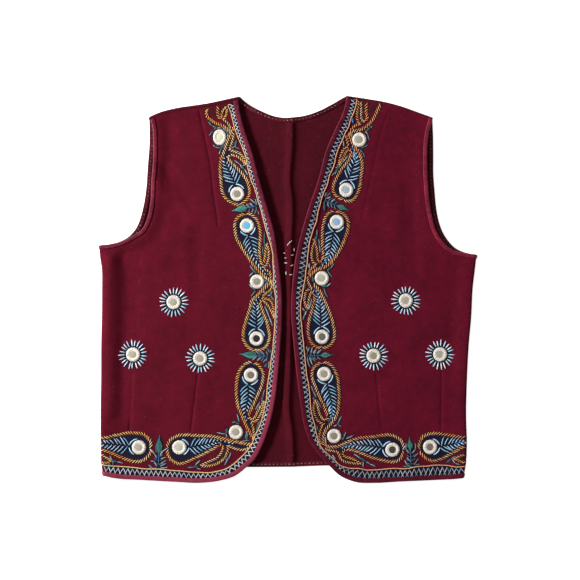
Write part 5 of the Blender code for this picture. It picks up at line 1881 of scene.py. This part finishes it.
class Patches:
    """Filled grounds of one finish on one front, each a thin shell set into the cloth."""

    def __init__(self, name, finish, slot):
        self.name, self.finish, self.slot = name, finish, slot
        self.vertices, self.faces, self.count = [], [], 0

    def add(self, outline, top, spacing=4 * MM):
        cut, triangles = filled(tidy_outline(outline), [], spacing)
        vertices, faces = shell(cut, triangles, lay_front, HALF_CLOTH + top, HALF_CLOTH - GROUND_DEPTH)
        self.faces += [tuple(index + self.count for index in face) for face in faces]
        self.vertices.append(vertices)
        self.count += len(vertices)

    def ring(self, centre, inner, outer, top, sides=28):
        """A flat ring, or a disc where inner is 0."""
        circle = rays_at(np.arange(sides) * 2 * math.pi / sides)
        inner = max(inner, 0.5 * MM)
        levels = [(outer, -GROUND_DEPTH), (outer - 0.3 * MM, top), (inner, top), (inner, -GROUND_DEPTH)]
        cut = np.vstack([centre + radius * circle for radius, _ in levels])
        out = np.repeat([height for _, height in levels], sides) + HALF_CLOTH
        rings = moved_out(lay_front, cut, out)
        self.faces += faces_between(len(levels), sides, True, self.count)
        self.vertices.append(rings)
        self.count += len(rings)

    def piece(self):
        return new_piece(self.name, np.vstack(self.vertices), self.faces, self.finish)


class Chance:
    """Seeded unevenness of handwork."""

    def __init__(self, seed):
        self.numbers = np.random.default_rng(seed)

    def about(self, middle, spread):
        return float(middle + spread * self.numbers.uniform(-1, 1))

    def wander(self, count, length, spread):
        """A slowly changing row of numbers around 0, as a thread's dye changes along a row."""
        knots = self.numbers.uniform(-1, 1, int(count / length) + 4)
        return spread * np.interp(np.arange(count) / length, np.arange(len(knots)), knots)


def rope_row(stitches, side, line, outwards, chance, band, pitch, width):
    """A rope stitch: slanted dashes across a band, their outer ends leaning along the line."""
    points, tangents = resampled(line, pitch)
    tones = ROPE_TONE[side] + chance.wander(len(points), 6, 0.28)
    for number in range(len(points)):
        tangent = tangents[number]
        out = to_left(tangent) * outwards
        half = band / 2 * chance.about(1, 0.08)
        centre = points[number] + tangent * chance.about(0, 0.10) * pitch
        start = centre - out * half - tangent * half * ROPE_LEAN
        end = centre + out * half + tangent * half * ROPE_LEAN * chance.about(1, 0.1)
        if on_front(side, np.array([start, end])).all():
            stitches.add(
                [start, end], width * chance.about(1, 0.08), tones[number] + chance.about(0, 0.12),
                lift=0.55 * MM, out=0.12 * MM,
            )


def outward_sign(line, other):
    """1 where the outside of a shape lies to the left of its first boundary, or -1."""
    ring = np.vstack([line, other[::-1]])
    following = np.roll(ring, -1, axis=0)
    area = (ring[:, 0] * following[:, 1] - following[:, 0] * ring[:, 1]).sum()
    return -1 if area > 0 else 1


def band_outline(line, half):
    """The outline of a band with rounded-off ends along a line."""
    points, tangents = resampled(line, 2 * MM)
    normals = to_left(tangents) * half
    start, end = points[0] - tangents[0] * half * 0.6, points[-1] + tangents[-1] * half * 0.6
    return np.vstack([start, points + normals, end, (points - normals)[::-1]])


def vein_rows(stitches, side, spine, edges, outline, chance):
    """Slanted pale stitches in pairs along a spine, out to just inside the rope."""
    points, tangents = resampled(spine, VEIN_SPACING)
    for number in range(len(points)):
        tangent = tangents[number]
        for hand in (1, -1):
            root = points[number] + tangent * (1.1 if hand > 0 else -1.1) * MM
            angle = math.radians(chance.about(50 - 16 * number / len(points), 6))
            out = to_left(tangent) * hand
            direction = tangent * math.cos(angle) + out * math.sin(angle)
            start = root + direction * chance.about(1.1, 0.3) * MM
            reach = np.arange(1.0, 22.0, 0.5) * MM
            along = start + reach[:, None] * direction
            clear = distance_to(edges, *along.T) > CLEAR_OF_ROPE
            clear &= inside_outline(outline, along) & on_front(side, along)
            length = reach[np.argmin(clear)] if not clear.all() else reach[-1]
            length = min(length * chance.about(0.92, 0.08), LONGEST_VEIN)
            if length > SHORTEST_VEIN:
                stitches.add(
                    [start, start + direction * length * 0.5 + out * length * chance.about(0.08, 0.06),
                     start + direction * length],
                    chance.about(1.25, 0.2) * MM, chance.about(0.48 + 0.3 * number / len(points), 0.22),
                    lift=0.30 * MM, out=0.30 * MM,
                )


def arcs_by_mirror(stitches, centre, towards, chance):
    """The pair of thick pale stitches that hug a mirror where its paisley's tail begins."""
    heading = math.atan2(towards[1], towards[0])
    for hand in (1, -1):
        turns = heading + hand * np.radians(np.linspace(9, chance.about(68, 6), 8))
        line = centre + np.linspace(12.7, 11.0, 8)[:, None] * MM * rays_at(turns)
        stitches.add(line, 1.9 * MM, chance.about(0.52, 0.12), lift=0.2 * MM, out=0.35 * MM, parts=8)


def make_paisley(kit, side, parts, mirror, chance):
    """One paisley: its filled grounds, the rope round them, and the veins up to its tail."""
    lines = {name: smooth_line(table_points(row)) for name, row in parts.items()}
    outer, inner, hook, leaf = (lines[name] for name in ("outer", "inner", "hook", "leaf"))
    back = lines.get("back")
    body = np.vstack([outer] + ([back] if back is not None else []) + [hook[:1], inner[::-1]])
    small = np.vstack([hook, leaf[::-1]])
    if mirror is None:
        middle = (resampled(outer, 7 * MM)[0][1:-1, None] + table_points(parts["inner"])[None]) / 2
        for spot in middle[:, 1][:5]:
            kit["purple"].ring(spot, 0, chance.about(2.2, 0.5) * MM, 0.16 * MM, 12)
    else:
        kit["navy"].add(kept_on_front(side, body), 0.16 * MM)
        kit["purple"].add(kept_on_front(side, small), 0.18 * MM)
    sign = outward_sign(outer, inner)
    leaf_sign = outward_sign(leaf, hook)
    outwards_of = {"outer": sign, "inner": -sign, "leaf": leaf_sign, "hook": -leaf_sign}
    if back is not None:
        outwards_of["back"] = outward_sign(back, outer[::-1])
    for name, outwards in outwards_of.items():
        line, band = lines[name], ROPE_BANDS[name]
        reach = on_front(side, line, 0)
        if reach.sum() < 3:
            continue
        kit["rust"].add(kept_on_front(side, band_outline(line[reach], (band / 2 + 0.9) * MM)), 0.22 * MM)
        pitch, width = WIDE_ROPE if band > WIDE_BAND else NARROW_ROPE
        width *= ROPE_FULLNESS[side]
        rope_row(kit["gold"], side, line, outwards, chance, band * MM, pitch * MM, width * MM)
    if "spine" in lines:
        edges = np.vstack([outer, back if back is not None else outer[-1:], hook[:1], inner[::-1]])
        spine = lines["spine"]
        if mirror is not None:
            away = spine[0] - mirror
            start = mirror + away * VEIN_START / np.linalg.norm(away)
            spine = np.vstack([start, spine[np.linalg.norm(spine - mirror, axis=1) > FIRST_SPINE_POINT]])
        vein_rows(kit["pale_blue"], side, spine, edges, body, chance)
        if side == "right":
            kit["blue"].add(spine[len(spine) // 2 :], 1.0 * MM, 0.3, out=0.22 * MM, parts=12)
        if mirror is not None:
            arcs_by_mirror(kit["pale_blue"], mirror, lines["spine"][6] - mirror, chance)


def make_mirror(kit, side, centre, tone, chance, oval=(1.0, 1.0)):
    """A mirror held by a buttonholed ring: its glass, the ring's pad and its stitches."""
    circle = rays_at(np.arange(24) * 2 * math.pi / 24) * oval
    edge = GLASS_RADIUS + 1
    profile = ((0.4, GLASS_LEVEL), (GLASS_RADIUS, GLASS_LEVEL), (edge, 0.5), (edge, 0.05))
    # tone picks the reflection painted on this glass
    kit["glass"].append((side, centre, circle, profile, tone))
    rim = GLASS_RADIUS - 0.3
    pad = ((rim, 0.4), (rim + 0.4, 0.8), (6.4, 0.9), (7.9, 0.85), (9.0, 0.5), (9.1, -0.2), (rim, -0.2))
    kit["pads"].append((side, centre, circle, pad, 0.5))
    for number in range(RING_STITCHES):
        turn = (number + chance.about(0, 0.25)) * 2 * math.pi / RING_STITCHES
        lean = turn + math.radians(6)
        inner = chance.about(GLASS_RADIUS - 0.2, 0.25)
        radii = (inner, *RING_RADII, chance.about(RING_EDGE, 0.3))
        share = np.linspace(0, 1, len(radii))
        angles = turn * (1 - share) + lean * share
        line = centre + np.array(radii)[:, None] * MM * (rays_at(angles) * oval)
        kit["ivory"].add(
            line, 1.15 * MM, chance.about(0.62, 0.25), out=np.array(RING_HEIGHTS) * MM, parts=0,
        )
    around = np.linspace(0, 2 * math.pi, 37)
    waver = (GLASS_RADIUS - 0.2 + 0.12 * np.sin(around * 11))[:, None] * MM
    inner_line = centre + waver * rays_at(around) * oval
    kit["ivory"].add(inner_line, 0.8 * MM, 0.7, out=0.85 * MM, parts=0)


def revolved(rows):
    """Vertices, faces and a tone for each vertex, of profiles turned round their places."""
    vertices, faces, tones, count = [], [], [], 0
    for _, centre, circle, profile, tone in rows:
        sides, levels = len(circle), len(profile)
        cut = np.vstack([centre + radius * MM * circle for radius, _ in profile])
        out = np.repeat([height for _, height in profile], sides) * MM + HALF_CLOTH
        vertices.append(moved_out(lay_front, cut, out))
        closed = profile[0][0] < 1
        faces += faces_between(levels, sides, not closed, count)
        if closed:
            faces.append(tuple(count + index for index in range(sides)))
            faces.append(tuple(count + (levels - 1) * sides + index for index in range(sides)))
        tones += [tone] * (sides * levels)
        count += sides * levels
    return np.vstack(vertices), faces, tones


def twisted_cord(stitches, line, chance):
    """A two-ply cord laid along a line: two threads wound round each other."""
    points, tangents = resampled(line, CORD_STEP)
    out = to_left(tangents)
    knots = np.arange(0, len(points) + CORD_KNOTS, CORD_KNOTS)
    uneven = np.cumsum(chance.numbers.uniform(-0.5, 0.5, len(points) // CORD_KNOTS + 2))[: len(knots)]
    along = np.arange(len(points)) * CORD_STEP
    turn = along * 2 * math.pi / CORD_PITCH + np.interp(np.arange(len(points)), knots, uneven)
    for ply in range(2):
        angle = turn + ply * math.pi
        shifted = points + out * (np.cos(angle) * CORD_WIDTH * 0.30)[:, None]
        heights = CORD_HEIGHT + np.sin(angle) * CORD_WIDTH * 0.24
        tone = 0.26 + 0.56 * ply
        for start in range(0, len(points) - 1, CORD_POINTS):
            piece = slice(start, min(start + CORD_POINTS + 1, len(points)))
            if len(shifted[piece]) > 2:
                stitches.add(shifted[piece], CORD_WIDTH * 0.60, tone, out=heights[piece], parts=0)


def lattice(stitches, side, gold_line, edge_row, chance):
    """Crossing strokes between the gold cord and the binding, steeper towards the hem."""
    points, _ = resampled(gold_line, LATTICE_STEP)
    points = points[on_front(side, points, 1.5 * MM)]
    edge, _ = resampled(edge_row, LATTICE_STEP)
    nearest = [edge[np.argmin(((edge - point) ** 2).sum(1))] for point in points[::2]]
    nearest = np.repeat(nearest, 2, axis=0)[: len(points)]

    def at(place, share):
        number = min(int(place / LATTICE_STEP), len(points) - 1)
        return points[number] * (1 - share) + nearest[number] * share

    place, total = 0.0, (len(points) - 1) * LATTICE_STEP
    while place < total:
        y = at(place, 0)[1]
        pitch = float(np.interp(-y / MM, *LATTICE_PITCH)) * MM
        cross = LATTICE_CROSS[side]
        strokes = (
            (place, 0.14, place + cross * pitch, 0.96),
            (place + (1.1 - cross) * pitch, 0.95, place + 1.1 * pitch, 0.16),
        )
        for start, start_share, end, end_share in strokes:
            if end < total:
                stitches.add(
                    [at(start, start_share), at(end, end_share)], chance.about(0.88, 0.14) * MM,
                    chance.about(LATTICE_TONE[side], 0.30), lift=0.3 * MM, out=0.28 * MM,
                )
        place += pitch


def sprig_strokes(kit, side, chance):
    """The curling little stalks and leaves worked between the paisleys."""
    widths = {"grey": 0.85, "teal": 1.0, "blue": 1.0}
    for kind, full in widths.items():
        for start_x, start_y, end_x, end_y, width in SPRIGS[(side, kind)]:
            start = np.array((start_x, start_y)) * MM
            end = np.array((end_x, end_y)) * MM
            run = end - start
            across = to_left(run / np.linalg.norm(run))
            middle = (start + end) / 2 + across * chance.about(0, 0.05) * np.linalg.norm(run)
            strands = max(1, round(width / 1.5))
            for strand in range(strands):
                shift = across * (strand - (strands - 1) / 2) * width / strands * MM
                short = 1 - 0.25 * abs(strand - (strands - 1) / 2)
                line = [middle + (start - middle) * short + shift * 0.4, middle + shift,
                        middle + (end - middle) * short + shift * 0.4]
                if on_front(side, np.array(line)).all():
                    if strand == 0:
                        ground = band_outline(np.array([start, end]), (0.5 * width + 0.7) * MM)
                        kit["navy"].add(kept_on_front(side, ground), chance.about(0.10, 0.04) * MM)
                    kit[kind].add(
                        line, width / strands * full * 1.15 * MM, chance.about(0.36, 0.3),
                        lift=0.25 * MM, out=0.22 * MM,
                    )


def sprig_leaf(kit, side, root_x, root_y, tip_x, tip_y, chance):
    """A sprig's dark ground and stem, and the filled leaf at its tip."""
    root, tip = np.array((root_x, root_y)) * MM, np.array((tip_x, tip_y)) * MM
    run = tip - root
    across = to_left(run / np.linalg.norm(run))
    shares = np.linspace(0, 1, 13)
    full = LEAF_FULLNESS[side]
    half = np.interp(shares, (0, 0.2, 0.5, 0.7, 1), (3.4, 4.4, 3.0, 4.3 * full, 0.6))[:, None] * MM
    middle = root + shares[:, None] * run
    outline = np.vstack([middle + across * half, (middle - across * half)[::-1]])
    kit["navy"].add(kept_on_front(side, outline), 0.15 * MM)
    kit["blue"].add([root + run * 0.08, root + run * 0.55], 1.3 * MM, 0.05, lift=0.2 * MM, out=0.3 * MM)
    along = run / np.linalg.norm(run)
    for pair in range(4):
        for hand in (1, -1):
            start = root + run * (0.10 + 0.12 * pair) + across * hand * 0.9 * MM
            reach = chance.about(5.8 - 0.6 * pair, 0.5) * MM
            middle = start + (across * hand * 0.62 + along * (0.10 + 0.05 * pair)) * reach
            end = start + (across * hand * 0.92 + along * (0.28 + 0.22 * pair)) * reach
            if on_front(side, np.array([start, middle, end])).all():
                kit["grey"].add([start, middle, end], 0.95 * MM, chance.about(0.22, 0.22), lift=0.2 * MM,
                                out=0.3 * MM, parts=5)
    base, heart = root + run * (0.84 - 0.34 * full), root + run * (0.96 - 0.25 * full)
    end = root + run * 0.99
    for strand in (-2, -1, 0, 1, 2):
        line = [base + run * 0.03 * abs(strand), heart + across * strand * 1.55 * full * MM,
                end - run * 0.05 * abs(strand)]
        kit["teal"].add(
            line, 1.75 * full * MM, chance.about(0.60, 0.3), lift=0.2 * MM, out=0.3 * MM, parts=6,
        )


def medallion_rays(kit, centre, chance):
    """Rays stitched out from a medallion's mirror, on a dark disc."""
    kit["black"].ring(centre, 0, MEDALLION_DISC, 0.14 * MM)
    first = chance.about(0, 0.15)
    for number in range(MEDALLION_RAYS):
        turn = first + number * 2 * math.pi / MEDALLION_RAYS + math.radians(chance.about(0, 2.5))
        ray = np.array([math.cos(turn), math.sin(turn)])
        outer = chance.about(RAY_END, 1.0) * MM
        kit["pale_blue"].add(
            [centre + ray * RAY_START, centre + ray * outer], 1.7 * MM, chance.about(0.72, 0.24),
            lift=0.35 * MM, out=0.25 * MM,
        )


# The pieces

# The reflection painted on each border mirror's glass, then on each medallion mirror's, from dark (0) to
# bright (1), in the order of the tables of mirrors
PAINTED_MIRROR_REFLECTIONS = {
    "left": (1.0, 0.5, 0.95, 0.5, 0.0, 0.35, 0.6, 0.75, 0.65),
    "right": (0.6, 0.82, 0.87, 0.7, 0.2, 0.55, 0.45, 0.05, 0.3),
}
PAINTED_MEDALLION_REFLECTIONS = {"left": (0.65, 0.62, 0.62), "right": (0.63, 0.62, 0.5)}

# The border mirror that each paisley's tail starts from, counted from 0
MIRROR_OF = {"shoulder": None, "second": 1, "third": 2, "fifth": 4, "sixth": 5, "eighth": 7, "ninth": 8}


def mirror_centres(side):
    """The names and places of one front's mirrors."""
    first = 0 if side == "left" else 2
    centres = {}
    for kind, table in (("border", BORDER_MIRRORS), ("medallion", MEDALLION_MIRRORS)):
        for number, row in enumerate(table, 1):
            centres[f"shisha_{kind}_{side}_{number}"] = np.array(row[first : first + 2]) * MM
    return centres


def make_front(side, finishes):
    """One front's cloth with the bindings of its edges."""
    sign = SIDES[side]
    edge, armhole = front_strips(side)
    shoulder_seam, side_seam, fold_rows = folds_of(sign, edge, armhole, edge, *front_reach(side))
    outline = np.vstack([edge.cloth[::-1], shoulder_seam[1:-1], armhole.cloth, side_seam[1:-1]])
    rows = [edge.inner_row(), armhole.inner_row()] + fold_rows
    for dart in DARTS[side]:
        points, tangents = resampled(table_points(dart[1:]), 3 * MM)
        rows += [points + to_left(tangents) * away * MM for away in (-2.2, -0.8, 0, 0.8, 2.2)]
    bindings = [
        strip_piece(f"front_binding_satin_{side}", edge, binding_section, lay_front,
                    finishes[f"satin_{side}"], f"front_binding_{side}"),
        strip_piece(f"armhole_binding_satin_{side}", armhole, binding_section,
                    lay_front, finishes[f"satin_armhole_{side}"], f"armhole_binding_{side}"),
    ]
    cloth_panel(
        f"front_cloth_{side}", outline, rows, FRONT_GRID, lay_front, finishes[f"wool_{side}"],
        f"front_{side}",
    )
    return edge


def make_back_stitches(strips, finishes, tree):
    """The hand stitches that hold the back's turnings, and the thread ends left on the wool."""
    chance = Chance(SEEDS["back"])
    pink = Stitches("pink_stitches_back", lay_back, finishes["pink"], "maroon_thread")
    for key, low, high, pitch, length in (
        ("neck", -72, 80, 5.0, 2.0), ("hem", -46, 50, 5.2, 2.0),
        ("left", -300, 0, 5.0, 1.1), ("right", 0, 300, 5.0, 1.1),
    ):
        points, tangents = resampled(strips[key].row(2.6 * MM), pitch * MM)
        clear = past_either_fold(points) < -9 * MM
        clear &= (points[:, 0] > low * MM) & (points[:, 0] < high * MM)
        for point, tangent in zip(points[clear], tangents[clear]):
            half = tangent * chance.about(length / 2, 0.3) * MM
            pink.add([point - half, point + half], 0.85 * MM, chance.about(0.42, 0.35),
                     lift=0.12 * MM, out=GAP + BINDING - 0.05 * MM)
    pink.piece(tree)
    ends = Stitches("white_thread_ends_back", lay_back, finishes["ivory"], "ivory_thread")
    for start_x, start_y, end_x, end_y in THREAD_ENDS:
        line = np.array([(start_x, start_y), (end_x, end_y)]) * MM
        beside = line[:, 0] - centre_seam_x(line[:, 1])
        on_allowance = (beside > -SEAM_ALLOWANCE_WIDTH - 1 * MM).any() and (beside < 1 * MM).any()
        height = GAP + SEAM_ALLOWANCE if on_allowance else 0.05 * MM
        ends.add(line, 0.95 * MM, chance.about(0.75, 0.25), lift=0.3 * MM, out=height + 0.2 * MM)
    ends.piece(tree)


def make_back(finishes, tree):
    """Both halves of the back with the turnings of its edges, and its centre seam's allowances."""
    strips = back_strips()
    satin, wool = finishes["satin_inside"], finishes["shaded_wool_back"]
    for name, key in (
        ("neck_turning", "neck"), ("back_hem_turning", "hem"),
        ("armhole_turning_left", "left"), ("armhole_turning_right", "right"),
    ):
        strip_piece(f"{name}_satin", strips[key], turning_section, lay_back, satin, name)
    for side, sign in SIDES.items():

        def beside_seam(points):
            return (points[:, 0] - centre_seam_x(points[:, 1])) * sign > GAP / 2

        neck = cut_line(strips["neck"].cloth, beside_seam)
        hem = cut_line(strips["hem"].cloth, beside_seam)
        if sign < 0:
            neck, hem = neck[::-1], hem[::-1]
        armhole = strips[side]
        count = round((neck[0, 1] - hem[0, 1]) / (2 * SEAM_STEP))
        centre_y = np.linspace(hem[0, 1], neck[0, 1], count)
        centre = np.stack([centre_seam_x(centre_y) + sign * GAP / 2, centre_y], axis=1)
        shoulder_seam, side_seam, rows = folds_of(
            sign, strips["neck"], armhole, strips["hem"], SIDE_WRAP, SHOULDER_WRAP[side],
        )
        outline = np.vstack([
            centre[1:-1], neck, shoulder_seam[1:-1], armhole.cloth, side_seam[1:-1], hem[::-1],
        ])
        rows += [centre[3:-3] + (sign * away * MM, 0) for away in (2.2, 4.4, 6.6, 9, 12, 15)]
        cloth_panel(
            f"back_cloth_{side}", outline, rows, BACK_GRID, lay_back, wool, f"back_{side}",
        )
    make_seam_allowance(strips, wool)
    make_back_stitches(strips, finishes, tree)


def make_seam_allowance(strips, finish):
    """The centre back seam's allowances, pressed to the left, between the neck and hem turnings."""

    def middle_y(strip, width):
        row = strip.row(width)
        order = np.argsort(row[:, 0])
        return float(np.interp(centre_seam_x(row[:, 1].mean()), row[order, 0], row[order, 1]))

    top = middle_y(strips["neck"], TURNING_WIDTH) - 3 * GAP
    bottom = middle_y(strips["hem"], TURNING_WIDTH) + 3 * GAP
    y = np.linspace(top, bottom, round((top - bottom) / SEAM_STEP))
    right = centre_seam_x(y) + GAP
    near = HALF_CLOTH + GAP
    far = near + SEAM_ALLOWANCE
    corners = rounded((
        (0, near),
        (0, far - GAP),
        (-GAP * 2, far),
        (-SEAM_ALLOWANCE_WIDTH * 0.5, far - GAP / 2),
        (-SEAM_ALLOWANCE_WIDTH, far - GAP),
        (-SEAM_ALLOWANCE_WIDTH, near),
    ))
    ragged = 0.25 * MM * np.sin(y * 310) + 0.2 * MM * np.sin(y * 740 + 1)
    rings = [
        moved_out(
            lay_back, np.stack([right + across + ragged * (across < -4 * MM), y], axis=1),
            np.full(len(y), out),
        )
        for across, out in corners
    ]
    piece = swept("back_seam_allowance_cloth", np.stack(rings, axis=1), finish)
    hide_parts("back_seam_allowance")


def make_embroidery(side, edge, finishes, tree):
    """Everything worked on one front."""
    chance = Chance(SEEDS[side])
    slots = {
        "gold": "gold_thread", "pale_blue": "blue_thread", "ivory": "ivory_thread",
        "lilac": "ivory_thread", "grey": "blue_thread", "teal": "teal_thread", "blue": "blue_thread",
        "cord": "gold_thread",
    }
    kit = {
        kind: Stitches(
            f"{kind}_stitches_{side}", lay_front,
            finishes[f"{kind}_{side}" if kind in ("gold", "cord") else kind], slot,
        )
        for kind, slot in slots.items()
    }
    kit["cord"].name = f"gold_cord_{side}"
    kit["cord"].flatness, kit["cord"].end_width = 0.95, 1.0
    for kind in GROUNDS:
        kit[kind] = Patches(f"{kind}_ground_{side}", finishes[kind], "navy_thread")
    kit["glass"], kit["pads"] = [], []
    centres = list(mirror_centres(side).values())
    for name, parts in PAISLEYS[side].items():
        number = MIRROR_OF[name]
        make_paisley(kit, side, parts, None if number is None else centres[number], chance)
    # The painted reflection of each mirror's glass, border mirrors first
    tones = PAINTED_MIRROR_REFLECTIONS[side] + PAINTED_MEDALLION_REFLECTIONS[side]
    for number, (centre, tone) in enumerate(zip(centres, tones)):
        if number >= len(BORDER_MIRRORS):
            medallion_rays(kit, centre, chance)
        else:
            kit["black"].ring(centre, 8.6 * MM, 10.7 * MM, 0.26 * MM)
        oval = OVAL if (side, number) == OVAL_MIRROR else (1.0, 1.0)
        make_mirror(kit, side, centre, tone, chance, oval)
    gold_line = smooth_line(table_points(GOLD_LINE[side]))
    gold_line = gold_line[on_front(side, gold_line, 1.0 * MM)]
    edge_row = edge.row(edge.width - 0.2 * MM)
    edge_row = edge_row[on_front(side, edge_row, 0.4 * MM)]
    kit["black"].add(np.vstack([gold_line, edge_row[::-1]]), 0.18 * MM)
    twisted_cord(kit["cord"], gold_line, chance)
    lattice(kit["lilac"], side, gold_line, edge_row, chance)
    sprig_strokes(kit, side, chance)
    for row in SPRIG_LEAVES[side]:
        sprig_leaf(kit, side, *row, chance)
    for kind in slots:
        kit[kind].piece(tree)
    for kind in GROUNDS:
        kit[kind].piece()
    for name, key, slot in (
        ("mirror_glass", "glass", "mirror_glass"), ("mirror_ring_pads", "pads", "ivory_thread"),
    ):
        vertices, faces, tones = revolved(kit[key])
        finish = finishes["glass" if key == "glass" else "ivory"]
        piece = new_piece(f"{name}_{side}", vertices, faces, finish)
        piece.data.attributes.new("tone", "FLOAT", "POINT").data.foreach_set("value", tones)
        if key == "pads":
            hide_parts(*mirror_centres(side))


def make_floor():
    mesh = bpy.data.meshes.new("floor")
    square = ((-1, -1), (1, -1), (1, 1), (-1, 1))
    corners = [(x * FLOOR_HALF, y * FLOOR_HALF, FLOOR_LEVEL) for x, y in square]
    mesh.from_pydata(corners, [], [(0, 1, 2, 3)])
    floor = bpy.data.objects.new("floor", mesh)
    bpy.context.collection.objects.link(floor)
    paper = Finish("pale_floor", Roughness=0.9, Specular_IOR_Level=0.1)
    grain = paper.noise(0.02, 2.0)
    colour = paper.mix(grain * 0.3, dye(250, 250, 250), dye(244, 244, 246))
    paper.put(paper.shader.inputs["Emission Color"], (1, 1, 1, 1))
    paper.put(paper.shader.inputs["Emission Strength"], FLOOR_GLOW)
    mesh.materials.append(paper.wear(Base_Color=colour))


def make_light_and_camera():
    world = bpy.data.worlds.new("studio")
    bpy.context.scene.world = world
    world.use_nodes = True
    background = world.node_tree.nodes["Background"]
    background.inputs["Color"].default_value = (1.0, 1.0, 1.0, 1)
    background.inputs["Strength"].default_value = SKY_STRENGTH
    for name, place, size, power in LAMPS:
        lamp = bpy.data.lights.new(name, "AREA")
        lamp.shape, lamp.size, lamp.energy = "DISK", size, power
        item = bpy.data.objects.new(name, lamp)
        item.location = place
        item.rotation_euler = (-Vector(place)).to_track_quat("-Z", "Y").to_euler()
        bpy.context.collection.objects.link(item)
    lens = bpy.data.cameras.new("camera")
    lens.sensor_width, lens.lens = 36, LENS
    camera = bpy.data.objects.new("camera", lens)
    camera.location = CAMERA_PLACE
    bpy.context.collection.objects.link(camera)
    bpy.context.scene.camera = camera
    bpy.context.scene.view_settings.view_transform = "Standard"


def make_vest():
    make_light_and_camera()
    make_floor()
    finishes = make_finishes()
    tree = make_thread_tree()
    make_back(finishes, tree)
    for side in SIDES:
        edge = make_front(side, finishes)
        make_embroidery(side, edge, finishes, tree)


make_vest()
